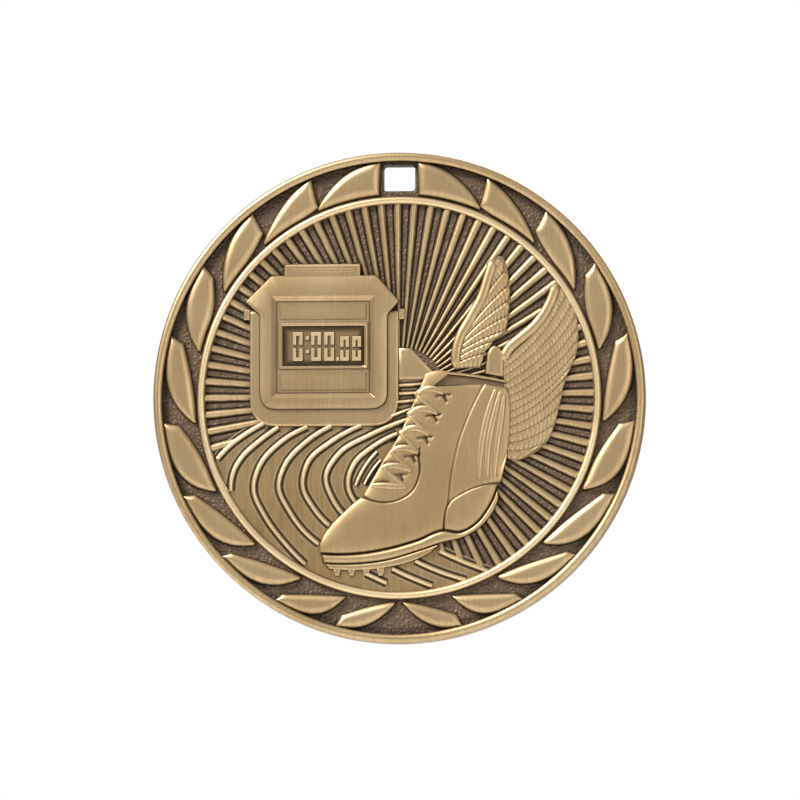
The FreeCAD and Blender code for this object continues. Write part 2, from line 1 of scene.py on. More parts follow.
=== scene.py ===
"""A two-inch antique-gold track medal: every feature of its relief as its own sculpted surface.

Plan points are millimetres from the disc's centre, with u to the viewer's right and v up; heights are
millimetres above the sunken field. `MedalFrame` carries them into the shared frame, in metres, where
the picture faces -Y and +Z is up.
"""

import logging
import math
from contextlib import AbstractContextManager, contextmanager
from dataclasses import dataclass, field
from enum import Enum
from typing import Iterable, Iterator, Optional, Sequence

import bpy
import numpy as np
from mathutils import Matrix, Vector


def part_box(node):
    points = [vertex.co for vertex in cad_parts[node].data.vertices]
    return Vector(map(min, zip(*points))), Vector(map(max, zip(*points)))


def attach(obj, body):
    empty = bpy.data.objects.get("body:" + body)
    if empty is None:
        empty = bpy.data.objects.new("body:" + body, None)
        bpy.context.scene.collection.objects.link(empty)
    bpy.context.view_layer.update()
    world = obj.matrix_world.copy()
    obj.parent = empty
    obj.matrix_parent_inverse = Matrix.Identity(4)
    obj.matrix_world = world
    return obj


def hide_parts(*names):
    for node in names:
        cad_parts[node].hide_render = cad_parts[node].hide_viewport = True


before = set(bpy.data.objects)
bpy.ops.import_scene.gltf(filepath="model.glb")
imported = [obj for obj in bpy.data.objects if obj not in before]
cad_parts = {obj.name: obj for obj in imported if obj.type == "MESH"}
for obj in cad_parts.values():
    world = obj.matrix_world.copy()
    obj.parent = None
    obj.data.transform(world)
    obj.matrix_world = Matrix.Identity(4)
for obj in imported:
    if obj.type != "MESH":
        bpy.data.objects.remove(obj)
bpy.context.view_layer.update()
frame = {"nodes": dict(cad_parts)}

MM = 0.001
# Heights in mm: a piece's underside, just below the field, and the gap between a surface and what it covers.
FOOT = -0.05
SKIN = 0.012
# Power that makes an arch or a crest round, and the smallest number that is divided by.
ROUNDNESS = 0.7
NEARLY_ZERO = 1e-9
LOG = logging.getLogger("medal")
Points = Sequence[tuple[float, float]]
Array = np.ndarray


class Slot(Enum):
    """The record's material slots."""

    GOLD = "antique_gold"
    FIELD = "recessed_field"


class Finish(Enum):
    """The finishes that the medal's pieces wear."""

    RELIEF = "relief_gold"
    BRIGHT = "bright_gold"
    SATIN = "satin_gold"
    TRACK = "track_gold"
    RECESS = "pebbled_recess"


# ---------------------------------------------------------------- frame and meshes


@dataclass(frozen=True)
class MedalFrame:
    """Where the disc stands in the shared frame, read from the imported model.

    Attributes:
        centre_x: the disc centre's X, in metres.
        centre_z: the disc centre's Z, in metres.
        field_y: the sunken field's Y, in metres.
        back_y: the back face's Y, in metres.
        radius: the disc's radius, in mm.
    """

    centre_x: float
    centre_z: float
    field_y: float
    back_y: float
    radius: float

    @classmethod
    def from_cad(cls) -> "MedalFrame":
        """Reads the blank's box and returns the frame of the disc."""
        low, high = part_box("medal_body")
        return cls((low[0] + high[0]) / 2, (low[2] + high[2]) / 2, low[1], high[1], (high[0] - low[0]) / 2 / MM)

    def place(self, plan: Array, height: Array) -> Array:
        """Carries plan points and heights into the shared frame.

        Args:
            plan: (..., 2) plan points in mm.
            height: (...) heights above the field in mm.

        Returns:
            (..., 3) points in metres.
        """
        x = self.centre_x + plan[..., 0] * MM
        z = self.centre_z + plan[..., 1] * MM
        return np.stack([x, self.field_y - height * MM, z], axis=-1)


def grid_quads(number: Array) -> Array:
    """The (k, 4) faces between neighbours in a grid of vertex numbers."""
    corners = [number[:-1, :-1], number[1:, :-1], number[1:, 1:], number[:-1, 1:]]
    return np.stack(corners, axis=-1).reshape(-1, 4)


def stand(name: str, data: bpy.types.ID) -> bpy.types.Object:
    """Puts a mesh, lamp or camera in the scene and returns its object."""
    made = bpy.data.objects.new(name, data)
    bpy.context.scene.collection.objects.link(made)
    return made


@dataclass
class Sculpture:
    """Surfaces collected for one piece.

    Attributes:
        frame: the disc's frame.
        points: (n, 3) arrays of vertices, in metres.
        wash_and_shade: how much dark wash and painted shade lies in each vertex, 0 to 1.
        faces: lists of vertex numbers, one per face.
        total: how many vertices are held so far.
    """

    frame: MedalFrame
    points: list[Array] = field(default_factory=list)
    wash_and_shade: list[Array] = field(default_factory=list)
    faces: list[tuple[int, ...]] = field(default_factory=list)
    total: int = 0

    def add(self, vertices: Array, quads: Array, rings: Iterable[Array] = (),
            wash_and_shade: Optional[Array] = None) -> None:
        """Adds one closed surface.

        Args:
            vertices: (n, 3) points in metres.
            quads: (k, 4) vertex numbers.
            rings: loops of vertex numbers that close the surface with one flat face each.
            wash_and_shade: (n,) dark wash and painted shade that lie in each point, 0 to 1; none if left out.
        """
        self.points.append(vertices)
        self.wash_and_shade.append(np.zeros(len(vertices)) if wash_and_shade is None else np.clip(wash_and_shade, 0.0, 1.0))
        self.faces.extend(map(tuple, (quads + self.total).tolist()))
        self.faces.extend(tuple((ring + self.total).tolist()) for ring in rings)
        self.total += len(vertices)

    def block(self, plan: Array, height: Array, foot: float = FOOT, wash_and_shade: Optional[Array] = None) -> None:
        """Adds a sculpted sheet with a wall round it down to its foot and a flat underside.

        The sheet is a grid of points; its border is repeated at the foot's height.

        Args:
            plan: (n, m, 2) plan points, in mm.
            height: (n, m) heights of the sheet, in mm.
            foot: height of the underside, in mm.
            wash_and_shade: (n, m) dark wash and painted shade on the sheet, 0 to 1.
        """
        wash_and_shade = np.zeros_like(height) if wash_and_shade is None else np.broadcast_to(wash_and_shade, height.shape)
        edge_u, edge_v = plan[1:, :-1] - plan[:-1, :-1], plan[:-1, 1:] - plan[:-1, :-1]
        turn = (edge_u[..., 0] * edge_v[..., 1] - edge_u[..., 1] * edge_v[..., 0]).sum()
        if turn < 0:
            plan, height, wash_and_shade = plan[:, ::-1], height[:, ::-1], wash_and_shade[:, ::-1]
        rows, columns = height.shape
        number = np.arange(rows * columns).reshape(rows, columns)
        border = np.concatenate([number[:, 0], number[-1, 1:], number[-2::-1, -1], number[0, -2:0:-1]])
        low = rows * columns + np.arange(len(border))
        sides = np.stack([border, low, np.roll(low, -1), np.roll(border, -1)], axis=-1)
        top = self.frame.place(plan, height).reshape(-1, 3)
        bottom = self.frame.place(plan.reshape(-1, 2)[border], np.full(len(border), foot))
        stain_and_shade = np.concatenate([wash_and_shade.reshape(-1), np.ones(len(border))])
        self.add(np.concatenate([top, bottom]), np.concatenate([grid_quads(number), sides]), [low[::-1]], stain_and_shade)

    def stack(self, loops: Sequence[Array], heights: Sequence[float], ring: bool = False,
              wash_and_shade: Sequence[float] = ()) -> None:
        """Adds a wall carried through matching loops, capped at both ends or closed into a ring.

        Args:
            loops: (n, 2) plan loops, counterclockwise, from the outer foot inwards.
            heights: the height of each loop, in mm.
            ring: joins the last loop to the first instead of capping, as round a window.
            wash_and_shade: dark wash and painted shade on each loop, 0 to 1; only on the foot if left out.
        """
        stain_and_shade = np.repeat(wash_and_shade or [1.0] + [0.0] * (len(loops) - 1), len(loops[0]))
        count, rows = len(loops[0]), len(loops)
        placed = [self.frame.place(loop, np.full(count, height)) for loop, height in zip(loops, heights)]
        vertices = np.concatenate(placed)
        number = np.arange(rows * count).reshape(rows, count)
        after = np.roll(number, -1, axis=1)
        quads = np.stack([number[:-1], after[:-1], after[1:], number[1:]], axis=-1).reshape(-1, 4)
        if ring:
            seam = np.stack([number[-1], after[-1], after[0], number[0]], axis=-1)
            self.add(vertices, np.concatenate([quads, seam]), wash_and_shade=stain_and_shade)
        else:
            self.add(vertices, quads, [number[-1], number[0][::-1]], stain_and_shade)

    def build(self, name: str, node: str, finish: bpy.types.Material, sharp_deg: float) -> None:
        """Makes the object, lets it ride on the medal and puts it in place of its CAD node.

        Args:
            name: the piece's name.
            node: the CAD node that it stands for.
            finish: the material it wears.
            sharp_deg: edges that turn by more than this stay crisp.
        """
        mesh = bpy.data.meshes.new(name)
        mesh.from_pydata(np.concatenate(self.points), [], self.faces)
        # Per-vertex darkening: dark wash, and painted shade beside ridges and raised pieces.
        mesh.attributes.new("wash_and_shade", "FLOAT", "POINT").data.foreach_set("value", np.concatenate(self.wash_and_shade))
        mesh.shade_smooth()
        mesh.set_sharp_from_angle(angle=math.radians(sharp_deg))
        mesh.materials.append(finish)
        made = stand(name, mesh)
        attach(made, "root")
        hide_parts(node)
        LOG.info("%s: %d faces, for %s", name, len(mesh.polygons), node)


# ---------------------------------------------------------------- curves and height shapes


def even(count: int) -> Array:
    """Evenly spaced fractions from 0 to 1."""
    return np.linspace(0.0, 1.0, count)


def eased(count: int) -> Array:
    """Fractions from 0 to 1 that crowd towards both ends: half a cosine wave."""
    return 0.5 - 0.5 * np.cos(np.pi * even(count))


def through(points: Points, share: Array) -> Array:
    """Samples a smooth curve through a few points, evenly by length.

    Each stretch is a cubic between two points, whose slopes there are the mean of the slopes of the
    two neighbouring chords.

    Args:
        points: the points, in mm.
        share: fractions of the curve's length to sample at.

    Returns:
        (len(share), 2) points.
    """
    knots = np.array(points, float)
    if len(knots) == 2:
        return knots[0] + (knots[1] - knots[0]) * share[:, None]
    at = np.concatenate([[0.0], np.cumsum(np.linalg.norm(np.diff(knots, axis=0), axis=1))])
    chord = np.diff(knots, axis=0) / np.diff(at)[:, None]
    gap = np.diff(at)[:, None]
    inner = (chord[:-1] * gap[1:] + chord[1:] * gap[:-1]) / (gap[1:] + gap[:-1])
    slope = np.concatenate([[2 * chord[0] - inner[0]], inner, [2 * chord[-1] - inner[-1]]])

    def cubic(place: Array) -> Array:
        """The curve at distances along its chords: the four cubic blending terms."""
        left = np.clip(np.searchsorted(at, place, side="right") - 1, 0, len(knots) - 2)
        span = np.diff(at)[left][:, None]
        x = (place - at[left])[:, None] / span
        rise, fall = x * x * (3 - 2 * x), (1 - x) ** 2 * (1 + 2 * x)
        return (knots[left] * fall + knots[left + 1] * rise
                + slope[left] * span * x * (1 - x) ** 2 - slope[left + 1] * span * x * x * (1 - x))

    fine = np.linspace(0.0, at[-1], 40 * len(knots))
    run = np.concatenate([[0.0], np.cumsum(np.linalg.norm(np.diff(cubic(fine), axis=0), axis=1))])
    return cubic(np.interp(share * run[-1], run, fine))


def chain(stretches: Sequence[tuple[float, Points]], share: Array) -> Array:
    """Joins smooth stretches end to end, with real corners between them.

    Args:
        stretches: (fraction of the whole where the stretch ends, its points) in order.
        share: fractions of the whole to sample at.

    Returns:
        (len(share), 2) points.
    """
    result = np.zeros((len(share), 2))
    start = 0.0
    for end, points in stretches:
        inside = (share >= start) & (share <= end)
        result[inside] = through(points, (share[inside] - start) / (end - start))
        start = end
    return result


def patch(low: Array, high: Array, across: Array, left: Optional[Array] = None,
          right: Optional[Array] = None) -> Array:
    """Spans four sides: the two ruled sheets between opposite sides, less the one between the corners.

    Args:
        low: (n, 2) the side at 0.
        high: (n, 2) the side at 1.
        across: (m,) fractions from low to high.
        left: (m, 2) the end at the start of the sides, straight if None.
        right: (m, 2) the end at the finish of the sides, straight if None.

    Returns:
        (n, m, 2) plan points.
    """
    along = even(len(low))[:, None, None]
    blend = across[None, :, None]
    grid = low[:, None] * (1 - blend) + high[:, None] * blend
    for end, share, row in ((left, 1 - along, 0), (right, along, -1)):
        if end is not None:
            grid = grid + share * (end[None] - grid[row][None])
    return grid


def edge_distance(plan: Array) -> Array:
    """Distance of every grid point from the sheet's border, measured along its rows and columns.

    The four distances are joined by a soft minimum, the inverse fourth root of their summed inverse
    fourth powers.

    Args:
        plan: (n, m, 2) plan points.

    Returns:
        (n, m) distances in mm.
    """
    total = np.zeros(plan.shape[:2])
    for axis in (0, 1):
        step = np.linalg.norm(np.diff(plan, axis=axis), axis=-1)
        run = np.cumsum(step, axis=axis)
        zero = np.zeros_like(np.take(run, [0], axis=axis))
        run = np.concatenate([zero, run], axis=axis)
        rest = np.take(run, [-1], axis=axis) - run
        total = total + np.maximum(run, 1e-4) ** -4 + np.maximum(rest, 1e-4) ** -4
    return total ** -0.25


def shoulder(distance: Array, edge: float, top: float, reach: float) -> Array:
    """Heights that rise from the border as a quarter circle and are level beyond its reach.

    Args:
        distance: (n, m) distances from the border, in mm.
        edge: height at the border, in mm.
        top: height of the level part, in mm.
        reach: width of the rounded part, in mm.

    Returns:
        (n, m) heights in mm.
    """
    inward = np.clip(distance / reach, 0.0, 1.0)
    return edge + (top - edge) * np.sqrt(1.0 - (1.0 - inward) ** 2)


def bell(distance: Array, reach: float) -> Array:
    """A bell curve of a distance: 1 at none, 0.37 at the reach."""
    return np.exp(-(distance / reach) ** 2)


def route_distance(plan: Array, route: Array) -> Array:
    """Distance from every plan point to the nearest point of a route of straight steps.

    Args:
        plan: (n, m, 2) plan points.
        route: (k, 2) points of the route.

    Returns:
        (n, m) distances in mm.
    """
    start, reach = route[:-1], np.diff(route, axis=0)
    offset = plan[..., None, :] - start
    along = np.clip((offset * reach).sum(-1) / np.maximum((reach ** 2).sum(-1), 1e-12), 0.0, 1.0)
    return np.linalg.norm(offset - along[..., None] * reach, axis=-1).min(axis=-1)


def arch(count: int) -> Array:
    """A (1, count) row that rises from 0 to 1 and falls back to 0 across a strip."""
    return np.sin(np.linspace(0.0, np.pi, count))[None, :] ** ROUNDNESS


def crested(count: int, share: float) -> tuple[Array, Array]:
    """Two (1, count) rows across a strip that `bar` made.

    Args:
        count: how many points the strip has across.
        share: the share of the strip's half width that the crest takes.

    Returns:
        How far aside each point is, 0 to 1, and the crest's height there, 0 to 1.
    """
    aside = np.abs(np.sin(np.linspace(-0.5, 0.5, count) * np.pi))[None, :]
    return aside, np.maximum(0.0, 1.0 - (aside / share) ** 2) ** ROUNDNESS


def bar(route: Array, width: Array, across: int) -> Array:
    """A strip of changing width along a route, with the offsets square to it.

    Args:
        route: (n, 2) centre line.
        width: (n,) widths in mm.
        across: how many points the strip has across.

    Returns:
        (n, across, 2) plan points.
    """
    along = np.gradient(route, axis=0)
    along /= np.linalg.norm(along, axis=1)[:, None]
    normal = np.stack([-along[:, 1], along[:, 0]], axis=1)
    share = np.sin(np.linspace(-0.5, 0.5, across) * np.pi) / 2
    return route[:, None] + normal[:, None] * (width[:, None] * share[None])[..., None]


def inset(loop: Array, distance: float) -> Array:
    """Moves a counterclockwise loop inwards so that each side shifts by the distance.

    Each corner moves along the sum of its two sides' normals over one plus their dot product.

    Args:
        loop: (n, 2) corners.
        distance: the shift in mm; negative moves outwards.

    Returns:
        (n, 2) corners.
    """
    ahead = np.roll(loop, -1, axis=0) - loop
    ahead /= np.linalg.norm(ahead, axis=1)[:, None]
    normal = np.stack([-ahead[:, 1], ahead[:, 0]], axis=1)
    before = np.roll(normal, 1, axis=0)
    spread = 1.0 + (normal * before).sum(axis=1, keepdims=True)
    return loop + distance * (normal + before) / np.maximum(spread, 0.3)


def star_loops(centre: tuple[float, float], *outlines: Points) -> list[Array]:
    """Samples straight-sided outlines at shared directions from a centre that sees all their sides.

    Every outline's corners give a direction, so that all corners stay crisp in all loops.

    Args:
        centre: the point inside all outlines.
        outlines: their corners.

    Returns:
        One (n, 2) counterclockwise loop per outline.
    """
    middle = np.array(centre)
    corners = [np.array(outline, float) - middle for outline in outlines]
    turns = np.concatenate([np.arctan2(c[:, 1], c[:, 0]) for c in corners])
    turns = np.unique(np.round(np.concatenate([turns, np.linspace(-np.pi, np.pi, 49)[:-1]]), 6))
    ray = np.stack([np.cos(turns), np.sin(turns)], axis=1)
    loops = []
    for outline in corners:
        start, side = outline, np.roll(outline, -1, axis=0) - outline
        cross = ray[:, None, 0] * side[None, :, 1] - ray[:, None, 1] * side[None, :, 0]
        cross = np.where(np.abs(cross) < NEARLY_ZERO, NEARLY_ZERO, cross)
        far = (start[None, :, 0] * side[None, :, 1] - start[None, :, 1] * side[None, :, 0]) / cross
        share = (start[None, :, 0] * ray[:, None, 1] - start[None, :, 1] * ray[:, None, 0]) / cross
        valid = (far > 0) & (share > -1e-5) & (share < 1 + 1e-5)
        reach = np.where(valid, far, 0.0).max(axis=1)
        loops.append(middle + ray * reach[:, None])
    return loops


# ---------------------------------------------------------------- finishes


def srgb(red: float, green: float, blue: float) -> tuple[float, float, float, float]:
    """A colour of 0 to 255 per channel as the linear light that shaders use."""
    return tuple(((c / 255 + 0.055) / 1.055) ** 2.4 for c in (red, green, blue)) + (1.0,)


class Wiring:
    """A node tree with short calls for adding and joining nodes.

    Attributes:
        tree: the node tree that is being wired.
    """

    def __init__(self, tree: bpy.types.NodeTree) -> None:
        """Takes a node tree and clears it."""
        self.tree = tree
        tree.nodes.clear()

    def node(self, kind: str, inputs: Optional[dict] = None, **settings) -> bpy.types.Node:
        """Adds a node.

        Args:
            kind: the node's type name, without the ShaderNode prefix.
            inputs: socket name or number to a value or to another node's output.
            settings: properties of the node.

        Returns:
            The node.
        """
        made = self.tree.nodes.new(kind if kind.startswith("NodeGroup") else "ShaderNode" + kind)
        for name, value in settings.items():
            setattr(made, name, value)
        for name, value in (inputs or {}).items():
            if isinstance(value, bpy.types.NodeSocket):
                self.tree.links.new(value, made.inputs[name])
            else:
                made.inputs[name].default_value = value
        return made

    def sum(self, operation: str, first, second=0.0, clamp: bool = False) -> bpy.types.NodeSocket:
        """Adds a maths node and returns its result."""
        return self.node("Math", {0: first, 1: second}, operation=operation, use_clamp=clamp).outputs[0]

    def mix(self, share, first, second, blend: str = "MIX") -> bpy.types.NodeSocket:
        """Mixes two colours by a share and returns the result."""
        return self.node("Mix", {0: share, 6: first, 7: second}, data_type="RGBA", blend_type=blend).outputs[2]

    def span(self, value, low, high, start: float = 0.0, end: float = 1.0) -> bpy.types.NodeSocket:
        """Turns the range from low to high smoothly into start to end."""
        inputs = {"Value": value, "From Min": low, "From Max": high, "To Min": start, "To Max": end}
        return self.node("MapRange", inputs, interpolation_type="SMOOTHSTEP").outputs[0]

    def place(self) -> bpy.types.NodeSocket:
        """The point's place in the object's own space, in metres."""
        return self.node("TexCoord").outputs["Object"]

    def noise(self, place, scale, detail: float = 2.0) -> bpy.types.NodeSocket:
        """Soft noise around 0.5."""
        return self.node("TexNoise", {"Vector": place, "Scale": scale, "Detail": detail}).outputs[0]

    def swing(self, value, reach: float) -> bpy.types.NodeSocket:
        """Turns a value around 0.5 into one around 0, scaled by a reach."""
        return self.sum("MULTIPLY", self.sum("SUBTRACT", value, 0.5), reach)

    def put(self, value, label: str) -> None:
        """Joins a value to the output of a node group."""
        self.tree.links.new(value, self.tree.nodes["out"].inputs[label])

    def coat(self, inputs: dict) -> None:
        """Finishes a material with one surface shader that takes the inputs."""
        self.node("OutputMaterial", {"Surface": self.node("BsdfPrincipled", inputs).outputs[0]})


def shared_group(name: str, outputs: Sequence[tuple[str, str]], inputs: Sequence[tuple[str, float]]) -> Wiring:
    """Starts a node group with named sockets.

    Args:
        name: the group's name.
        outputs: (name, socket type) pairs.
        inputs: (name, default) pairs of plain numbers.

    Returns:
        The group's wiring, holding its input node named "in" and output node named "out".
    """
    tree = bpy.data.node_groups.new(name, "ShaderNodeTree")
    for label, value in inputs:
        tree.interface.new_socket(label, in_out="INPUT", socket_type="NodeSocketFloat").default_value = value
    for label, kind in outputs:
        tree.interface.new_socket(label, in_out="OUTPUT", socket_type=kind)
    wiring = Wiring(tree)
    wiring.node("NodeGroupInput").name = "in"
    wiring.node("NodeGroupOutput").name = "out"
    return wiring


@dataclass
class SharedEffects:
    """Effects that every finish uses: antiquing left in hollows, painted shade along the rim, brushed streaks
    and fine casting grain.

    Attributes:
        medal: where the disc and its sunken field are.
        side_wall: how far inside the disc's edge the side wall starts and is complete, in mm.
        rim_shade: radii between which painted shade darkens the field towards the rim, in mm.
        broad_noise: scale, detail and strength in mm of the wash's broad unevenness.
        fine_noise: the same for its fine unevenness.
        narrow_marks: marks per metre of the fine brushing along X, Y and Z.
        wide_marks: marks per metre of the coarse brushing.
    """

    medal: MedalFrame
    side_wall: tuple[float, float] = (0.2, 0.05)
    rim_shade: tuple[float, float] = (22.7, 24.2)
    broad_noise: tuple[float, float, float] = (420.0, 3.0, 0.16)
    fine_noise: tuple[float, float, float] = (2600.0, 2.0, 0.12)
    narrow_marks: tuple[float, float, float] = (9000.0, 2500.0, 420.0)
    wide_marks: tuple[float, float, float] = (2600.0, 900.0, 130.0)
    antiquing_and_rim_shade: Optional[bpy.types.NodeTree] = None
    streaks: Optional[bpy.types.NodeTree] = None
    grain: Optional[bpy.types.NodeTree] = None

    def make(self) -> "SharedEffects":
        """Builds the three groups and returns itself."""
        self.antiquing_and_rim_shade = self.make_antiquing_and_rim_shade()
        self.streaks = self.make_streaks()
        self.grain = self.make_grain()
        return self

    def make_antiquing_and_rim_shade(self) -> bpy.types.NodeTree:
        """How much dark wash is left, plus painted shade along the rim: little on faces that look outwards,
        much on walls and low down.

        The wash is one minus (facing share times height share), roughened by two scales of noise. The
        side wall counts as facing mostly outwards, and everything 0.5 mm or more below the field as
        high. In between, down to 0.3 mm below the field, the side wall keeps its wash as a dark line.
        Painted shade darkens the field again in the narrow gaps along the rim, where the rim's shadow falls.

        Returns:
            The group, with the outputs Dark, which holds the wash from 0, rubbed bright, to 1, full, together
            with the painted rim shade, and Back, 1 on the back.
        """
        w = shared_group("left_antiquing_and_rim_shade", [("Dark", "NodeSocketFloat"), ("Back", "NodeSocketFloat")],
                         [("Low", 0.0), ("High", 0.35), ("Steep", 0.35), ("Flat", 0.9)])
        source = w.tree.nodes["in"].outputs
        place = w.place()
        depth = w.node("SeparateXYZ", {0: place}).outputs["Y"]
        height = w.sum("MULTIPLY", w.sum("SUBTRACT", self.medal.field_y, depth), 1 / MM)
        centre = (self.medal.centre_x, 0.0, self.medal.centre_z)
        aside = w.node("VectorMath", {0: place, 1: centre}, operation="SUBTRACT").outputs[0]
        flat = w.node("VectorMath", {0: aside, 1: (1 / MM, 0.0, 1 / MM)}, operation="MULTIPLY").outputs[0]
        radius = w.node("VectorMath", {0: flat}, operation="LENGTH").outputs["Value"]
        wall = w.span(radius, *(self.medal.radius - inside for inside in self.side_wall))
        uneven = w.sum("ADD", *(w.swing(w.noise(place, scale, detail), strength)
                                for scale, detail, strength in (self.broad_noise, self.fine_noise)))
        normal = w.node("SeparateXYZ", {0: w.node("NewGeometry").outputs["Normal"]}).outputs["Y"]
        facing = w.sum("ABSOLUTE", normal)
        raised = w.span(w.sum("ADD", height, uneven), source["Low"], source["High"])
        outward = w.span(w.sum("ADD", facing, uneven), source["Steep"], source["Flat"])
        high = w.sum("MAXIMUM", raised, w.span(height, -0.2, -0.5, 0.0, 0.9))
        open_side = w.sum("MAXIMUM", outward, w.sum("MULTIPLY", wall, w.span(uneven, -0.08, 0.06, 0.55, 0.95)))
        # Painted shade: the low field is darkened towards the rim, where the rim's shadow falls.
        shade = w.sum("MULTIPLY", w.span(radius, *self.rim_shade, 0.0, 0.85), w.span(height, 0.2, 0.03))
        shade = w.sum("MULTIPLY", shade, w.span(height, -0.3, -0.1))
        dark = w.sum("MAXIMUM", w.sum("SUBTRACT", 1.0, w.sum("MULTIPLY", high, open_side), clamp=True), shade)
        w.put(dark, "Dark")
        w.put(w.span(normal, 0.3, 0.6), "Back")
        return w.tree

    def make_streaks(self) -> bpy.types.NodeTree:
        """Fine upright brush marks: noise squeezed across and drawn out along Z.

        Returns:
            The group, with the output Streak around 0.5.
        """
        w = shared_group("brush_streaks", [("Streak", "NodeSocketFloat")], [("Coarse", 0.5)])
        place = w.place()
        narrow = w.node("Mapping", {"Vector": place, "Scale": self.narrow_marks}).outputs[0]
        wide = w.node("Mapping", {"Vector": place, "Scale": self.wide_marks}).outputs[0]
        marks = {0: w.tree.nodes["in"].outputs["Coarse"], 2: w.noise(narrow, 1.0, 3.0), 3: w.noise(wide, 1.0)}
        w.put(w.node("Mix", marks, data_type="FLOAT").outputs[0], "Streak")
        return w.tree

    def make_grain(self) -> bpy.types.NodeTree:
        """Casting grain: round pebbles of a cell pattern over soft noise.

        Returns:
            The group, with the output Pebble from 0, between the pebbles, to 1, on their tops.
        """
        w = shared_group("casting_grain", [("Pebble", "NodeSocketFloat")], [("Size", 0.3)])
        place = w.place()
        scale = w.sum("DIVIDE", 1 / MM, w.tree.nodes["in"].outputs["Size"])
        cells = w.node("TexVoronoi", {"Vector": place, "Scale": scale, "Randomness": 0.9}, feature="SMOOTH_F1")
        soft = w.noise(place, w.sum("MULTIPLY", scale, 1.7))
        dome = w.span(cells.outputs["Distance"], 0.75, 0.1)
        pebble = w.sum("ADD", w.sum("MULTIPLY", dome, 0.7), w.sum("MULTIPLY", soft, 0.3))
        w.put(pebble, "Pebble")
        return w.tree


@dataclass(frozen=True)
class AntiqueFinish:
    """Plated gold with a dark wash that was rubbed off the high places, and painted shade along the rim and
    beside ridges and raised pieces.

    Attributes:
        name: the material's name.
        bright: colour where the wash was rubbed off.
        dark: colour of the wash and of the painted shade.
        low: height in mm below which the wash is full.
        high: height in mm above which it is rubbed off.
        steep: outward facing share below which the wash is full.
        flat: outward facing share above which it is rubbed off.
        streak_tint: how strongly brush marks lighten and darken the colour.
        streak_bump: depth of the brush marks, in mm.
        pebble_size: width of a casting pebble, in mm.
        pebble_bump: height of the pebbles, in mm.
        roughness: roughness where rubbed bright.
        tarnish: what the colour is multiplied by in the clouded patches.
    """

    name: str
    bright: tuple[float, float, float, float]
    dark: tuple[float, float, float, float]
    low: float = 0.0
    high: float = 0.35
    steep: float = 0.3
    flat: float = 0.9
    streak_tint: float = 0.35
    streak_bump: float = 0.004
    pebble_size: float = 0.22
    pebble_bump: float = 0.006
    roughness: float = 0.4
    tarnish: tuple[float, float, float, float] = (0.9, 0.86, 0.8, 1.0)

    def make(self, effects: SharedEffects) -> bpy.types.Material:
        """Builds the material.

        Args:
            effects: the shared node groups.

        Returns:
            The material.
        """
        material = bpy.data.materials.new(self.name)
        material.use_nodes = True
        w = Wiring(material.node_tree)
        wash_and_shade = w.node("Group", node_tree=effects.antiquing_and_rim_shade)
        limits = {"Low": self.low, "High": self.high, "Steep": self.steep, "Flat": self.flat}
        for label, value in limits.items():
            wash_and_shade.inputs[label].default_value = value
        streak = w.node("Group", node_tree=effects.streaks).outputs["Streak"]
        pebble = w.node("Group", {"Size": self.pebble_size}, node_tree=effects.grain).outputs["Pebble"]
        # The pieces' vertex darkening: wash, and painted shade beside ridges and raised pieces.
        laid = w.node("Attribute", attribute_name="wash_and_shade").outputs["Fac"]
        dark = w.sum("MAXIMUM", wash_and_shade.outputs["Dark"], laid, clamp=True)
        place = w.place()
        cloud = w.noise(place, 150.0, 4.0)
        base = w.mix(wash_and_shade.outputs["Back"], self.bright, GOLD)
        warm = w.mix(w.span(cloud, 0.3, 0.7), base, w.mix(1.0, base, self.tarnish, "MULTIPLY"))
        brushed = w.mix(w.span(streak, 0.32, 0.68, 0.0, self.streak_tint), warm, self.dark)
        colour = w.mix(dark, brushed, self.dark)
        rough = w.sum("ADD", w.span(dark, 0.0, 1.0, self.roughness, 0.62),
                      w.swing(streak, 0.25), clamp=True)
        calm = w.sum("MULTIPLY", pebble, w.span(wash_and_shade.outputs["Back"], 0.0, 1.0, 1.0, 0.2))
        relief = w.node("Bump", {"Height": calm, "Distance": self.pebble_bump * MM, "Strength": 1.0})
        marks = w.node("Bump", {"Height": streak, "Distance": self.streak_bump * MM, "Strength": 1.0,
                                "Normal": relief.outputs[0]})
        w.coat({"Base Color": colour, "Roughness": rough, "Metallic": 1.0, "Normal": marks.outputs[0]})
        return material


GOLD = srgb(182, 157, 118)
PALE_GOLD = srgb(212, 189, 149)
# Dark colours of the wash, also used for the painted shade.
WASH_AND_SHADE = srgb(42, 34, 26)
DEEP_WASH_AND_SHADE = srgb(58, 48, 40)

FINISHES = (
    AntiqueFinish(Finish.RELIEF.value, GOLD, WASH_AND_SHADE, low=0.0, high=0.35, steep=0.1, flat=0.7, streak_tint=0.22),
    AntiqueFinish(Finish.SATIN.value, srgb(168, 143, 105), WASH_AND_SHADE, steep=0.2, flat=0.8, streak_tint=0.2,
                  roughness=0.45),
    AntiqueFinish(Finish.BRIGHT.value, PALE_GOLD, WASH_AND_SHADE, low=-0.1, high=0.25, steep=0.0, flat=0.6,
                  streak_tint=0.12),
    AntiqueFinish(Finish.TRACK.value, srgb(178, 150, 106), WASH_AND_SHADE, low=-0.3, high=0.15, streak_tint=0.4),
    AntiqueFinish(Finish.RECESS.value, srgb(138, 117, 96), DEEP_WASH_AND_SHADE, low=-0.3, high=0.4, pebble_size=0.3,
                  pebble_bump=0.1, streak_tint=0.1, roughness=0.5),
)


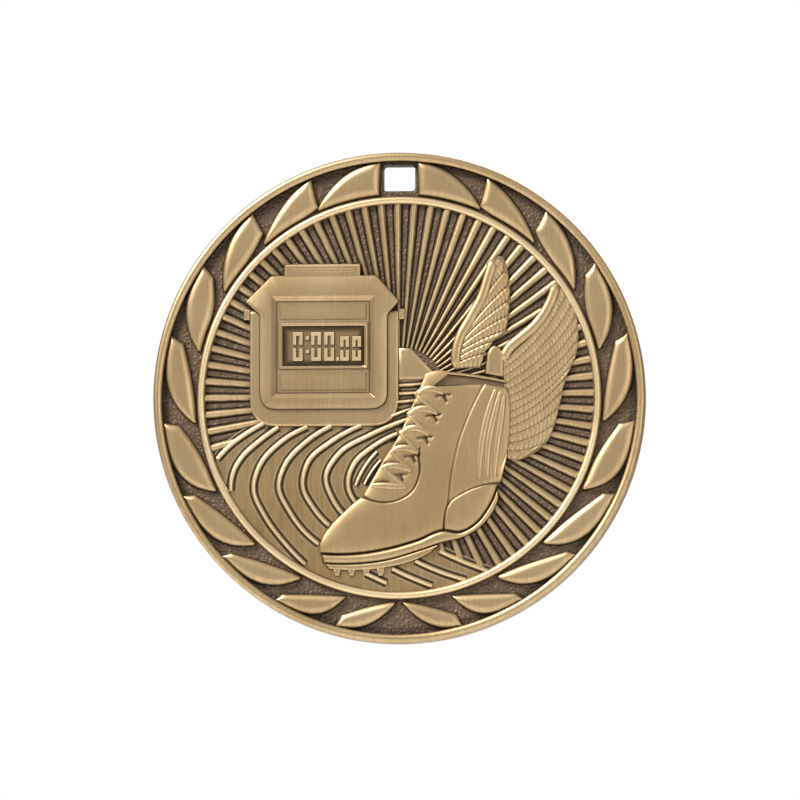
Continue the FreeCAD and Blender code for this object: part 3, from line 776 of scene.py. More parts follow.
@dataclass
class Palette:
    """The finishes as materials, made once and shared by the pieces."""

    materials: dict[Finish, bpy.types.Material] = field(default_factory=dict)

    @classmethod
    def mix(cls, medal: MedalFrame) -> "Palette":
        """Makes the shared groups and every finish for a medal whose field is at a known depth."""
        effects = SharedEffects(medal).make()
        return cls({Finish(finish.name): finish.make(effects) for finish in FINISHES})

    def dress_node(self, node: str, finish: Finish) -> None:
        """Puts a finish on a CAD node that keeps its own shape."""
        made = frame["nodes"][node]
        for holder in made.material_slots:
            holder.material = self.materials[finish]
        LOG.info("%s keeps its shape and wears %s", node, finish.value)


@dataclass
class Workshop:
    """What every maker needs: the medal's frame and the finishes."""

    medal: MedalFrame
    palette: Palette

    @contextmanager
    def piece(self, name: str, node: str, finish: Finish = Finish.RELIEF,
              sharp_deg: float = 42.0) -> Iterator[Sculpture]:
        """Opens an empty piece, and builds it in place of its CAD node once it is filled.

        Args:
            name: the piece's name.
            node: the CAD node that it stands for.
            finish: the finish it wears.
            sharp_deg: edges that turn by more than this stay crisp.

        Yields:
            The piece to fill.
        """
        work = Sculpture(self.medal)
        yield work
        work.build(name, node, self.palette.materials[finish], sharp_deg)


# ---------------------------------------------------------------- blank, rim, ring and wreath


@dataclass
class Blank:
    """The struck disc, its rim with the side wall, and the half-round ring round the picture."""

    shop: Workshop
    turns: int = 288
    ring_radius: float = 20.5
    ring_half_width: float = 0.47
    ring_height: float = 0.72
    rim_inner: float = 24.5
    rim_crest: float = 24.98
    crest_height: float = 1.0
    crest_rise: float = 0.34
    back_edge_break: float = 0.25

    def turn(self, work: Sculpture, profile: Array) -> None:
        """Carries a closed profile once round the disc.

        Args:
            work: the piece it joins.
            profile: (n, 2) radius and height in mm, counterclockwise as seen with the radius to the right.
        """
        angle = np.linspace(0, 2 * np.pi, self.turns, endpoint=False)
        plan = profile[None, :, 0, None] * np.stack([np.cos(angle), np.sin(angle)], axis=1)[:, None]
        height = np.broadcast_to(profile[None, :, 1], plan.shape[:2])
        number = np.arange(plan.shape[0] * plan.shape[1]).reshape(plan.shape[:2])
        side, ahead = np.roll(number, -1, axis=1), np.roll(number, -1, axis=0)
        quads = np.stack([number, side, np.roll(side, -1, axis=0), ahead], axis=-1).reshape(-1, 4)
        work.add(self.shop.medal.place(plan, height).reshape(-1, 3), quads[:, ::-1])

    def make_rim(self) -> None:
        """The raised rim: a round crest, a straight inner wall, and a side wall down to the back edge."""
        wall = self.shop.medal.radius + SKIN
        back = -(self.shop.medal.back_y - self.shop.medal.field_y) / MM - SKIN
        swing = np.linspace(0.0, np.pi, 15)
        sides = np.where(np.cos(swing) > 0, wall - self.rim_crest, self.rim_crest - self.rim_inner)
        crown = np.stack([self.rim_crest + 0.01 + sides * np.cos(swing),
                          self.crest_height - self.crest_rise + self.crest_rise * np.sin(swing)], axis=1)
        edge = self.back_edge_break
        lower = [(self.rim_inner, FOOT), (wall - 1.0, FOOT), (wall - 1.0, back + 0.4), (wall - 1.0, back),
                 (wall - edge, back), (wall - 0.07, back + 0.1), (wall, back + edge), (wall, -0.6)]
        with self.shop.piece("rim_and_side_wall", "outer_rim", sharp_deg=50.0) as work:
            self.turn(work, np.concatenate([np.array(lower), crown]))

    def make_ring(self) -> None:
        """The half-round ring: half an ellipse over a foot just below the field."""
        swing = np.linspace(0.0, np.pi, 17)
        crown = np.stack([self.ring_radius + self.ring_half_width * np.cos(swing),
                          self.ring_height * np.sin(swing) ** 0.8], axis=1)
        foot = [(self.ring_radius + side * self.ring_half_width, FOOT) for side in (-1, 1)]
        with self.shop.piece("picture_ring", "inner_ring", Finish.BRIGHT, 60.0) as work:
            self.turn(work, np.concatenate([np.array(foot), crown]))

    def dress_disc(self) -> None:
        """The blank keeps its shape, with a dark pebbled field."""
        self.shop.palette.dress_node("medal_body", Finish.RECESS)


@dataclass
class Wreath:
    """Two branches of ten domed leaves between the ring and the rim, one branch the other's mirror image.

    Each leaf is (start angle, end angle, fullness, lift, reach): degrees clockwise from the top, the
    power by which its outer edge leaves the rim, how far its inner edge is lifted off the ring at the
    blunt end in mm, and the share of its length over which that lift dies out.
    """

    shop: Workshop
    leaves: Sequence[tuple[float, ...]] = (
        (4.2, 23.4, 1.9, 0.0, 0.5), (21.6, 41.3, 1.3, 0.5, 0.35), (38.0, 58.6, 1.9, 1.3, 0.6),
        (55.4, 76.8, 2.8, 2.3, 0.6), (74.2, 97.0, 3.0, 2.2, 0.85), (95.6, 117.0, 3.9, 2.1, 0.75),
        (114.0, 135.6, 3.4, 2.5, 0.95), (131.4, 151.5, 3.1, 2.8, 1.05), (148.2, 165.2, 3.8, 2.75, 1.3),
        (164.2, 179.0, 2.2, 2.4, 1.15))
    outer_radius: float = 24.66
    hug_radius: float = 21.05
    tip_radius: float = 21.4
    blunt_share: float = 0.06
    edge_height: float = 0.2
    height: float = 0.76
    shoulder_reach: float = 1.0
    hole_side: float = 1.8
    edge_wash: float = 0.13

    def leaf_plan(self, start: float, end: float, fullness: float, lift: float, reach: float) -> Array:
        """The leaf's grid of plan points on the right-hand branch.

        The outer edge closes in by a power of the length. The inner edge lies along the ring and is
        lifted near the blunt end by a square that has died out at `reach`.

        Args:
            start: start angle in degrees.
            end: end angle in degrees.
            fullness: power by which the outer edge leaves the rim.
            lift: lift of the inner edge at the blunt end, in mm.
            reach: share of the length over which the lift dies out.

        Returns:
            (n, m, 2) plan points in mm.
        """
        along = eased(49)
        inner_along = self.blunt_share + (1 - self.blunt_share) * along
        outer = self.outer_radius - (self.outer_radius - self.tip_radius) * along ** fullness
        inner = self.hug_radius + lift * np.maximum(0.0, 1.0 - inner_along / reach) ** 2
        inner = np.minimum(inner, outer - 0.06)
        across = eased(25)[None, :]
        share = along[:, None] * across + inner_along[:, None] * (1 - across)
        turn = np.radians(start + (end - start) * share)
        radius = inner[:, None] + (outer - inner)[:, None] * across
        plan = radius[..., None] * np.stack([np.sin(turn), np.cos(turn)], axis=-1)
        near_top = plan[..., 1] > self.hug_radius
        plan[..., 0] = np.where(near_top, np.maximum(plan[..., 0], self.hole_side), plan[..., 0])
        return plan

    def make(self) -> None:
        """Makes the twenty leaves: domes with dark wash along their feet."""
        for number, values in enumerate(self.leaves, 1):
            plan = self.leaf_plan(*values)
            inward = edge_distance(plan)
            height = shoulder(inward, self.edge_height, self.height, self.shoulder_reach)
            for side, sign in (("right", 1.0), ("left", -1.0)):
                name = f"leaf_{side}_{number:02d}"
                with self.shop.piece("wreath_" + name, name) as work:
                    work.block(plan * np.array([sign, 1.0]), height, wash_and_shade=bell(inward, self.edge_wash))


# ---------------------------------------------------------------- rays and track


@dataclass(frozen=True)
class Overlap:
    """Outlines of what stands over the rays and the lanes; painted shade darkens the low places beside them,
    where their shadow falls.

    Attributes:
        outlines: routes round the stopwatch, up the shoe's front and the wings, and down their back.
        reach: how far from an outline the painted shade fades out, in mm.
    """

    outlines: Sequence[Points] = (
        ((-11.9, 13.9), (-3.95, 13.9), (-3.9, 12.7), (-2.3, 12.7), (0.05, 9.95), (0.0, 8.9), (0.0, -1.0),
         (-1.5, -2.9),
         (-13.6, -3.0), (-15.5, -1.0), (-15.5, 8.9), (-15.9, 9.95), (-13.2, 12.7), (-11.9, 12.7),
         (-11.9, 13.9)),
        ((-8.1, -16.1), (-7.2, -13.5), (-3.7, -10.2), (-1.6, -6.5), (1.2, -1.2), (2.7, 2.4), (5.95, 2.9),
         (6.3, 6.1),
         (8.6, 10.4), (9.85, 14.35), (11.45, 10.4), (10.9, 6.4), (12.6, 6.1), (15.2, 8.9), (16.25, 11.7)),
        ((18.5, 6.7), (17.2, 1.8), (15.4, -4.5), (12.6, -6.5), (10.4, -8.0), (9.2, -11.5), (6.3, -14.5),
         (-1.2, -17.0),
         (-7.9, -17.1)))
    reach: float = 0.55

    def wash_and_shade(self, plan: Array, crest: Array) -> Array:
        """Painted shade beside the outlines: a bell of the distance, kept off the crests.

        Args:
            plan: (n, m, 2) plan points.
            crest: (n, m) share of the crest's height at each point, 0 to 1.

        Returns:
            (n, m) painted shade, 0 to 1.
        """
        # Painted shadow of the stopwatch, the shoe and the wings on the low ground beside them.
        near = np.min([route_distance(plan, np.array(route)) for route in self.outlines], axis=0)
        return bell(near, self.reach) * (1.0 - 0.75 * crest)


@dataclass
class Track:
    """The running track: lane ridges that curve round the bend, the straight's fine lines and the hill.

    Each route is the centre line of a ridge.
    """

    shop: Workshop
    lanes: Sequence[Points] = (
        ((-14.0, -2.6), (-16.0, -3.75), (-17.6, -4.95), (-18.8, -6.25)),
        ((-12.5, -3.0), (-14.5, -4.45), (-16.2, -6.0), (-17.1, -7.5), (-17.4, -9.6)),
        ((-9.5, -3.0), (-12.5, -4.75), (-14.4, -6.9), (-15.05, -9.5), (-14.0, -12.0), (-12.0, -14.8),
         (-9.7, -17.2)),
        ((-7.0, -2.9), (-9.7, -4.6), (-11.8, -6.9), (-12.45, -9.2), (-11.4, -11.6), (-9.7, -13.9),
         (-8.3, -15.1)),
        ((-3.9, -2.85), (-7.0, -4.5), (-9.4, -6.6), (-9.95, -9.2), (-8.9, -11.3), (-7.2, -13.2)),
        ((0.8, -2.3), (-3.0, -3.85), (-6.2, -5.75), (-7.6, -8.3), (-7.0, -10.2), (-5.8, -12.0)),
        ((-0.2, -3.75), (-2.6, -5.0), (-4.7, -6.9), (-5.3, -8.9), (-4.5, -10.8)))
    far_lines: Sequence[Points] = (
        ((0.0, 1.25), (2.4, 1.4)), ((0.0, 0.4), (2.1, 0.5)), ((-0.6, -0.5), (1.7, -0.3)),
        ((-1.6, -2.35), (0.0, -1.6), (1.3, -1.2)))
    near_lines: Sequence[Points] = (
        ((-3.4, -18.2), (-1.3, -19.2)), ((-0.7, -17.7), (1.2, -18.6), (3.4, -19.5)),
        ((1.7, -16.9), (4.0, -17.95), (6.9, -18.9)), ((4.2, -15.9), (6.6, -17.0), (9.7, -18.2)))
    infield_lines: Sequence[Points] = (
        ((-4.5, -9.1), (-3.4, -6.9), (-2.3, -5.6)), ((-3.6, -9.0), (-2.8, -7.6), (-1.9, -6.5)))
    hill: Points = ((0.0, 1.9), (0.0, 5.1), (1.2, 5.1), (3.5, 2.6), (3.0, 1.9))
    lane_width: float = 0.5
    fine_width: float = 0.38
    line_height: float = 0.43
    bed_height: float = 0.1
    hill_height: float = 0.36

    def ridge(self, work: Sculpture, route: Points, width: float) -> None:
        """Adds one ridge: a round crest over the middle half, between low skirts full of dark wash and painted
        shade.

        Args:
            work: the piece it joins.
            route: its centre line.
            width: width of its crest in mm.
        """
        steps = 14 * len(route)
        plan = bar(through(route, even(steps)), np.full(steps, width * 2.4), 19)
        aside, crest = crested(19, 0.48)
        height = self.bed_height + SKIN * (1.0 - aside) + (self.line_height - self.bed_height) * crest
        # Dark bands in the skirts beside the crest: wash together with painted shade along the ridge's feet,
        # plus painted shadow of raised pieces nearby.
        stain_and_shade = np.maximum(np.interp(aside, [0.32, 0.46, 0.78, 1.0], [0.0, 1.0, 0.9, 0.1]),
                           Overlap().wash_and_shade(plan, crest))
        work.block(plan, np.broadcast_to(height, plan.shape[:2]), wash_and_shade=stain_and_shade)

    def make(self) -> None:
        """Makes the lanes, the three sets of fine lines and the hill."""
        for number, route in enumerate(self.lanes, 1):
            with self.shop.piece(f"lane_ridge_{number}", f"lane_line_{number}", Finish.BRIGHT) as work:
                self.ridge(work, route, self.lane_width)
        for name, node, routes, width in (("far", "far_lane_lines", self.far_lines, self.fine_width),
                                          ("near", "near_lane_lines", self.near_lines, self.lane_width),
                                          ("infield", "infield_lines", self.infield_lines, self.fine_width)):
            with self.shop.piece(name + "_straight_lines", node, Finish.BRIGHT) as work:
                for route in routes:
                    self.ridge(work, route, width)
        with self.shop.piece("low_hill", "horizon_hill") as work:
            loop = np.array(self.hill)[::-1]
            work.stack([loop, loop, inset(loop, 0.12), inset(loop, 0.3)],
                       [FOOT, self.hill_height - 0.1, self.hill_height - 0.03, self.hill_height])
        self.shop.palette.dress_node("track_bed", Finish.TRACK)


@dataclass
class Sunrise:
    """Rays from the horizon to the ring, 5 degrees apart, stopped where the track begins."""

    shop: Workshop
    track: Track
    count: int = 72
    phase_deg: float = -0.5
    centre: tuple[float, float] = (0.0, 0.25)
    start_radius: float = 5.0
    end_radius: float = 20.4
    width: float = 1.25
    start_share: float = 0.38
    height: float = 0.4
    samples: int = 400
    fewest_samples: int = 12

    def track_outline(self) -> Array:
        """Corners of the ground that the track covers: its outer lane, its nearest line and the shoe's side."""
        lane = list(self.track.lanes[0])
        near = list(self.track.near_lines[-1])
        outside = [(-20.5, -8.0), (-20.5, -22.0), (9.9, -22.0)]
        return np.array(lane + outside + near[::-1] + [(4.2, 2.1), (-14.0, 2.1)])

    def covered(self, points: Array) -> Array:
        """Whether points lie on the track: an odd number of outline sides crosses the line to their right.

        Args:
            points: (..., 2) plan points.

        Returns:
            (...) truth values.
        """
        corner = self.track_outline()
        after = np.roll(corner, -1, axis=0)
        u, v = points[..., None, 0], points[..., None, 1]
        spans = (corner[:, 1] > v) != (after[:, 1] > v)
        climb = after[:, 1] - corner[:, 1]
        rise = np.where(np.abs(climb) < NEARLY_ZERO, NEARLY_ZERO, climb)
        cross = corner[:, 0] + (v - corner[:, 1]) / rise * (after[:, 0] - corner[:, 0])
        return (spans & (u < cross)).sum(axis=-1) % 2 == 1

    def ray(self, work: Sculpture, turn: float) -> None:
        """Adds one ray where the ground is free: a ridge that widens and rises with the radius.

        Args:
            work: the piece it joins.
            turn: the ray's direction, in radians clockwise from the top.
        """
        radius = np.linspace(self.start_radius, self.end_radius, self.samples)
        ahead, centre = np.array([math.sin(turn), math.cos(turn)]), np.array(self.centre)
        route = centre + radius[:, None] * ahead
        free = ~self.covered(route) & (np.linalg.norm(route, axis=1) < self.end_radius)
        if free.sum() < self.fewest_samples:
            return
        first, last = np.flatnonzero(free)[[0, -1]]
        reach = np.linspace(radius[first], radius[last], 48)
        share = (reach - self.start_radius) / (self.end_radius - self.start_radius)
        width = self.width * (self.start_share + (1 - self.start_share) * share)
        plan = bar(centre + reach[:, None] * ahead, width, 9)
        aside, crest = crested(9, 0.7)
        rise = self.height * (0.6 + 0.4 * share)[:, None]
        # Dark bands in the skirts beside the crest: wash together with painted shade along the ray's feet, plus
        # painted shadow of raised pieces nearby.
        stain_and_shade = np.maximum(np.interp(aside, [0.45, 0.7, 0.85, 1.0], [0.0, 0.9, 0.7, 0.3]),
                           Overlap().wash_and_shade(plan, crest))
        work.block(plan, SKIN * (1.0 - aside) + rise * crest, wash_and_shade=stain_and_shade)

    def make(self) -> None:
        """Makes all rays as one piece."""
        with self.shop.piece("sun_rays_spread", "sun_rays", sharp_deg=70.0) as work:
            for index in range(self.count):
                self.ray(work, math.radians(360.0 / self.count * index + self.phase_deg))


# ---------------------------------------------------------------- stopwatch


def rounded(corners: Sequence[tuple[float, float, float]], steps: int = 7) -> Array:
    """A loop whose corners are rounded by parabolas.

    Each parabola starts and ends at the corner's reach along its two sides.

    Args:
        corners: (u, v, reach) of each corner, in order.
        steps: points on each rounded corner.

    Returns:
        (len(corners) * steps, 2) plan points.
    """
    table = np.array(corners)
    corner, reach = table[:, None, :2], table[:, None, 2:]
    before, after = np.roll(corner, 1, axis=0) - corner, np.roll(corner, -1, axis=0) - corner
    start = corner + before / np.linalg.norm(before, axis=-1, keepdims=True) * reach
    end = corner + after / np.linalg.norm(after, axis=-1, keepdims=True) * reach
    share = even(steps)[None, :, None]
    return ((1 - share) ** 2 * start + 2 * share * (1 - share) * corner + share ** 2 * end).reshape(-1, 2)


def rectangle(left: float, right: float, low: float, high: float) -> Array:
    """The four corners of an upright rectangle, counterclockwise."""
    return np.array([(left, low), (right, low), (right, high), (left, high)])


@dataclass
class Stopwatch:
    """A digital stopwatch: rear shell, bevelled housing, crown, pushers, display and two blank plates.

    Each zero of the reading is (left, right, top) in mm, and `sunk` is how far feet reach into the dial.
    """

    shop: Workshop
    middle: tuple[float, float] = (-7.85, 5.0)
    case: Sequence[tuple[float, float, float]] = (
        (-15.5, 9.1, 0.4), (-15.5, -3.0, 2.9), (0.0, -3.0, 2.9), (0.0, 9.1, 0.4))
    housing: Sequence[tuple[float, float, float]] = (
        (-13.2, 12.7, 0.25), (-15.95, 9.95, 0.25), (-14.45, 8.6, 0.4), (-14.45, -1.25, 1.8),
        (-1.15, -1.25, 1.8),
        (-1.15, 8.6, 0.4), (0.1, 9.95, 0.25), (-2.3, 12.7, 0.25))
    recess: tuple[float, float, float, float] = (-12.7, -3.0, 0.45, 10.05)
    display: tuple[float, float, float, float] = (-12.45, -3.2, 2.95, 7.85)
    window: tuple[float, float, float, float] = (-12.05, -3.6, 3.3, 7.45)
    case_height: float = 0.45
    housing_height: float = 0.82
    dial_height: float = 0.47
    display_height: float = 0.66
    plate_height: float = 0.55
    digit_height: float = 0.7
    digit_foot: float = 3.8
    zeros: Sequence[tuple[float, float, float]] = (
        (-11.0, -9.95, 6.8), (-9.1, -8.05, 6.8), (-7.75, -6.7, 6.8), (-6.1, -5.15, 6.35), (-4.85, -3.9, 6.35))
    sunk: float = 0.03
    stroke: float = 0.38
    crisp_deg: float = 20.0

    def plate(self, work: Sculpture, loop: Array, top: float, bevel: float, foot: float = FOOT) -> None:
        """Adds a plate whose edge is rounded by three mitred steps.

        Args:
            work: the piece it joins.
            loop: its corners, counterclockwise.
            top: its height in mm.
            bevel: width of the rounded edge in mm.
            foot: height of its underside in mm.
        """
        work.stack([loop, loop, inset(loop, bevel * 0.35), inset(loop, bevel)],
                   [foot, top - bevel * 0.9, top - bevel * 0.3, top], wash_and_shade=[1.0, 0.8, 0.05, 0.0])

    def framed(self, work: Sculpture, outer: Points, inner: Points, top: float, bevel: float, foot: float,
               slope: float) -> None:
        """Adds a plate with a window, whose inner edge slopes down to the window.

        Args:
            work: the piece it joins.
            outer: the outer corners.
            inner: the window's corners.
            top: its height in mm.
            bevel: width of the rounded outer edge in mm.
            foot: height of its underside in mm.
            slope: width of the sloping inner edge in mm.
        """
        wide = inset(np.array(inner), -slope)
        around, brink, hole = star_loops(self.middle, outer, wide, inner)
        work.stack([around, around, inset(around, bevel * 0.3), inset(around, bevel), brink, hole, hole],
                   [foot, top - bevel * 0.8, top - bevel * 0.25, top, top, top - slope * 0.7, foot], ring=True,
                   wash_and_shade=[1.0, 1.0, 0.6, 0.0, 0.0, 0.1, 1.0])

    def part(self, name: str, node: str, finish: Finish = Finish.RELIEF) -> AbstractContextManager[Sculpture]:
        """Opens one of the stopwatch's pieces, whose edges stay crisp."""
        return self.shop.piece("stopwatch_" + name, node, finish, self.crisp_deg)

    def make_shell(self) -> None:
        """The rear shell, the housing with its sunken face, the crown and the pushers."""
        with self.part("rear_shell", "watch_case") as work:
            self.plate(work, rounded(self.case), self.case_height, 0.3)
        with self.part("housing", "watch_housing") as work:
            recess = rectangle(*self.recess)
            self.framed(work, rounded(self.housing), recess, self.housing_height, 0.24, 0.0, 0.5)
        with self.part("crown", "watch_crown") as work:
            self.plate(work, rectangle(-11.9, -3.95, 11.8, 13.9), self.housing_height - 0.03, 0.28)
            self.plate(work, rectangle(-11.3, -4.55, 12.95, 13.4), self.housing_height + 0.03, 0.1)
        with self.part("pushers", "watch_pushers") as work:
            for left, right in ((-16.1, -15.45), (-0.05, 0.6)):
                self.plate(work, rectangle(left, right, 8.1, 9.2), self.case_height, 0.14)

    def make_face(self) -> None:
        """The sunken face, the display's border and dark ground, and the two blank plates."""
        low, level = self.dial_height - self.sunk, self.dial_height
        with self.part("dial", "watch_dial") as work:
            left, right, bottom, top = self.recess
            loop = rectangle(left - 0.05, right + 0.05, bottom - 0.05, top + 0.05)
            work.stack([loop, loop, inset(loop, 0.12), inset(loop, 0.3)], [FOOT] + [level] * 3,
                       wash_and_shade=[1.0, 1.0, 0.8, 0.0])
        window = rectangle(*self.window)
        with self.part("display_border", "watch_display_frame") as work:
            self.framed(work, rectangle(*self.display), window, self.display_height, 0.14, low, 0.16)
            work.stack([window, window, inset(window, 0.35), inset(window, 0.8)], [low] + [level + SKIN] * 3,
                       wash_and_shade=[1.0, 1.0, 0.9, 0.55])
        with self.part("blank_plates", "watch_nameplates") as work:
            for bottom, top in ((8.1, 9.75), (0.75, 2.65)):
                loop, step = rectangle(-12.35, -3.35, bottom, top), self.plate_height
                work.stack([loop, loop, inset(loop, 0.1), inset(loop, 0.3)],
                           [low, step - 0.05, step, step + 0.01], wash_and_shade=[1.0, 0.8, 0.3, 0.0])

    def make_digits(self) -> None:
        """The reading 0:00.00, each zero an arch over a cup, in small bevelled bars."""
        low, foot, s = self.dial_height - self.sunk, self.digit_foot, self.stroke
        gap = s / 2.2
        bars = []
        for left, right, top in self.zeros:
            brink = (foot + top) / 2 - gap
            cup = np.array([(left, brink), (left, foot), (right, foot), (right, brink),
                            (right - s, brink), (right - s, foot + s), (left + s, foot + s), (left + s, brink)])
            cap = cup * np.array([1.0, -1.0]) + np.array([0.0, foot + top])
            bars += [cup, cap[::-1]]
        bars += [rectangle(u, u + s, v, v + s) for u, v in ((-9.66, 6.0), (-9.66, 4.6), (-6.54, foot))]
        with self.part("digits", "watch_digits", Finish.BRIGHT) as work:
            for loop in bars:
                self.plate(work, loop, self.digit_height, 0.09, low)

    def make(self) -> None:
        """Makes the whole stopwatch."""
        self.make_shell()
        self.make_face()
        self.make_digits()


# ---------------------------------------------------------------- shoe


@dataclass
class Shoe:
    """A winged running shoe in relief: panels over one rounded volume, with grooves along the seams."""

    shop: Workshop
    instep: Points = ((-8.1, -16.1), (-8.15, -15.2), (-7.2, -13.5), (-5.9, -12.1), (-4.7, -11.0),
                      (-3.7, -10.2))
    tongue_front: Points = ((-3.7, -10.2), (-2.9, -8.8), (-1.6, -6.5), (-0.2, -4.3), (1.2, -1.2),
                            (2.1, 0.9), (2.7, 2.4))
    tongue_top: Points = ((2.7, 2.4), (4.0, 2.8), (5.4, 2.6))
    collar_back: Points = ((5.4, 2.6), (8.0, 2.3), (10.9, 1.7))
    collar_front: Points = ((3.4, 1.0), (5.0, 1.25), (7.0, 1.3), (9.0, 1.15), (11.3, 0.95))
    heel: Points = ((10.9, 1.7), (11.35, 0.2), (11.5, -3.0), (11.2, -5.6), (10.4, -7.6), (10.2, -9.2))
    sole_line: Points = ((10.2, -9.2), (9.2, -11.5), (7.8, -13.2), (6.3, -13.95), (4.6, -13.75),
                         (2.0, -14.75),
                         (-1.0, -15.6), (-4.0, -16.1), (-8.1, -16.1))
    lacing_edge: Points = ((3.4, 1.0), (4.2, -0.2), (3.3, -2.6), (2.1, -5.6), (2.1, -8.0), (1.3, -9.8),
                           (-0.9, -10.85),
                           (-3.7, -10.3))
    quarter_seam: Points = ((8.8, 1.3), (7.4, -1.4), (6.3, -4.2), (5.6, -7.0), (5.25, -9.4), (5.1, -11.1))
    counter_seam: Points = ((4.7, -14.0), (4.75, -12.2), (5.1, -11.1), (6.6, -9.95), (8.3, -9.25),
                            (10.6, -8.95))
    sole_bottom: Points = ((10.3, -10.6), (9.6, -12.1), (8.4, -13.5), (6.6, -14.55), (4.4, -15.1),
                           (1.8, -15.95),
                           (-1.2, -16.8), (-4.0, -17.15), (-7.9, -17.1))
    plate_bottom: Points = ((-7.3, -17.75), (-4.0, -17.9), (-1.2, -17.6), (1.0, -17.1), (3.2, -16.1))
    heel_stripes: Sequence[Points] = (
        ((10.0, 0.7), (9.3, -1.4), (8.6, -4.4), (8.3, -8.6)), ((10.5, 0.5), (9.9, -1.8), (9.3, -4.6),
         (9.15, -8.4)),
        ((10.9, 0.0), (10.6, -2.2), (10.15, -5.0), (9.9, -8.3)))
    laces: Sequence[Points] = (
        ((1.7, 0.2), (3.4, 0.85), (4.6, 0.35)), ((0.9, -1.85), (2.5, -1.2), (4.0, -1.75)),
        ((0.1, -3.8), (1.5, -3.2), (3.1, -3.9)), ((-0.9, -5.7), (0.5, -5.25), (2.0, -5.8)),
        ((-1.8, -7.3), (-0.3, -7.1), (1.3, -7.65)), ((-2.8, -9.1), (-1.0, -9.2), (0.7, -9.3)))
    spikes: Sequence[float] = (-6.4, -4.9, -3.4, -1.9)
    right_eyelets: Points = ((4.6, 0.15), (3.6, -1.9), (2.7, -4.2), (1.35, -6.1), (0.1, -8.05))
    left_eyelets: Points = ((2.5, -0.75), (1.7, -2.85), (0.6, -4.8), (-0.7, -6.75), (-1.6, -8.7))
    edge_height: float = 0.55
    crown_height: float = 0.88
    round_reach: float = 2.0
    seam_width: float = 0.24
    seam_depth: float = 0.12
    mark_width: float = 0.34
    mark_depth: float = 0.14
    lining_height: float = 0.34
    tongue_drop: float = 0.06
    strip_sunk: float = 0.12

    def outline_route(self) -> Array:
        """The upper's whole outline, as a closed route of short steps."""
        parts = [self.instep, self.tongue_front, self.tongue_top, self.collar_back, self.heel, self.sole_line]
        return np.concatenate([through(part, even(24)) for part in parts])

    def volume(self, plan: Array) -> Array:
        """Height of the upper's rounded volume: a quarter ellipse of the distance to its outline.

        Args:
            plan: (n, m, 2) plan points.

        Returns:
            (n, m) heights in mm.
        """
        inward = route_distance(plan, self.outline_route())
        return shoulder(inward, self.edge_height, self.crown_height, self.round_reach)

    def seams(self) -> list[tuple[Array, float]]:
        """The grooves between the panels, as routes of short steps with their dark wash."""
        collar = through(self.collar_front, even(12)) + np.array([0.0, 0.05])
        return [(through(self.lacing_edge, even(60))[24:], 0.9), (through(self.quarter_seam, even(24)), 0.5),
                (through(self.counter_seam, even(24)), 0.85), (through(self.sole_line, even(40)), 0.95),
                (collar, 0.5)]

    def marks(self) -> list[Array]:
        """Short dark strokes at the eyelets: a bar with a stem at the right, a bar at the left."""
        strokes = []
        for u, v in self.right_eyelets:
            strokes.append(np.array([(u - 0.75, v - 0.05), (u, v + 0.03), (u + 0.7, v + 0.08)]))
            strokes.append(np.array([(u + 0.05, v), (u + 0.3, v - 0.6)]))
        for u, v in self.left_eyelets:
            strokes.append(np.array([(u - 0.75, v - 0.2), (u, v), (u + 0.6, v - 0.08)]))
        return strokes

    def panel(self, name: str, node: str, plan: Array, lift: float = 0.0) -> None:
        """Makes one panel that follows the volume, with seams and eyelet strokes cut into it.

        Args:
            name: the piece's name.
            node: the CAD node that it stands for.
            plan: its grid of plan points.
            lift: how far it stands above the volume, in mm.
        """
        height, stain_and_shade = self.volume(plan) + lift, np.zeros(plan.shape[:2])
        cuts = [(route, self.seam_width, self.seam_depth, dark) for route, dark in self.seams()]
        cuts += [(route, self.mark_width, self.mark_depth, 1.0) for route in self.marks()]
        for route, width, depth, dark in cuts:
            share = np.exp(-(route_distance(plan, route) / width * 2.0) ** 2)
            height = height - depth * share
            stain_and_shade = np.maximum(stain_and_shade, dark * share)
        with self.shop.piece(name, node, Finish.SATIN) as work:
            work.block(plan, height, wash_and_shade=stain_and_shade)

    def make_upper(self) -> None:
        """The vamp, the quarter, the heel counter, the tongue, the opening and the collar's back edge."""
        lower = chain([(0.5, self.sole_line[:3:-1]), (0.58, ((4.6, -13.75), (4.72, -12.2), (5.1, -11.1))),
                       (1.0, self.quarter_seam[::-1])], even(129))
        upper = chain([(0.3, self.instep[1:-1] + ((-3.7, -10.3),)), (1.0, self.lacing_edge[::-1])], even(129))
        self.panel("shoe_vamp_panel", "shoe_vamp", patch(lower, upper, across=eased(61)))
        front = through(self.quarter_seam[::-1], even(65))
        back = through(((10.4, -8.9),) + self.heel[-3:0:-1] + ((11.2, 0.95),), even(65))
        base = through(((5.1, -11.1), (6.6, -9.95), (8.3, -9.25), (10.4, -8.9)), eased(41))
        crest = through(((8.8, 1.3), (10.0, 1.1), (11.2, 0.95)), eased(41))
        side = patch(front, back, left=base, right=crest, across=eased(41))
        self.panel("shoe_side_panel", "shoe_quarter", side)
        under = through(self.sole_line[4::-1], even(57))
        over = through(((4.65, -13.6), (4.75, -12.2), (5.1, -11.1), (6.6, -9.95), (8.3, -9.25),
        (10.25, -8.95)),
                       even(57))
        self.panel("shoe_heel_cup", "shoe_heel_counter", patch(under, over, across=eased(33)), 0.02)
        strip = chain([(0.88, self.lacing_edge[::-1]), (1.0, ((3.4, 1.0), (5.4, 2.6)))], even(97))
        silhouette = chain([(0.9, self.tongue_front), (1.0, self.tongue_top[:2])], even(97))
        pad = patch(strip, silhouette, across=eased(41))
        self.panel("shoe_tongue_pad", "shoe_tongue", pad, -self.tongue_drop)
        rim = through(self.collar_front, even(33)) + np.array([0.0, -0.04])
        rear = through(self.tongue_top[1:] + self.collar_back[1:], even(33))
        plan = patch(rim, rear, across=eased(11))
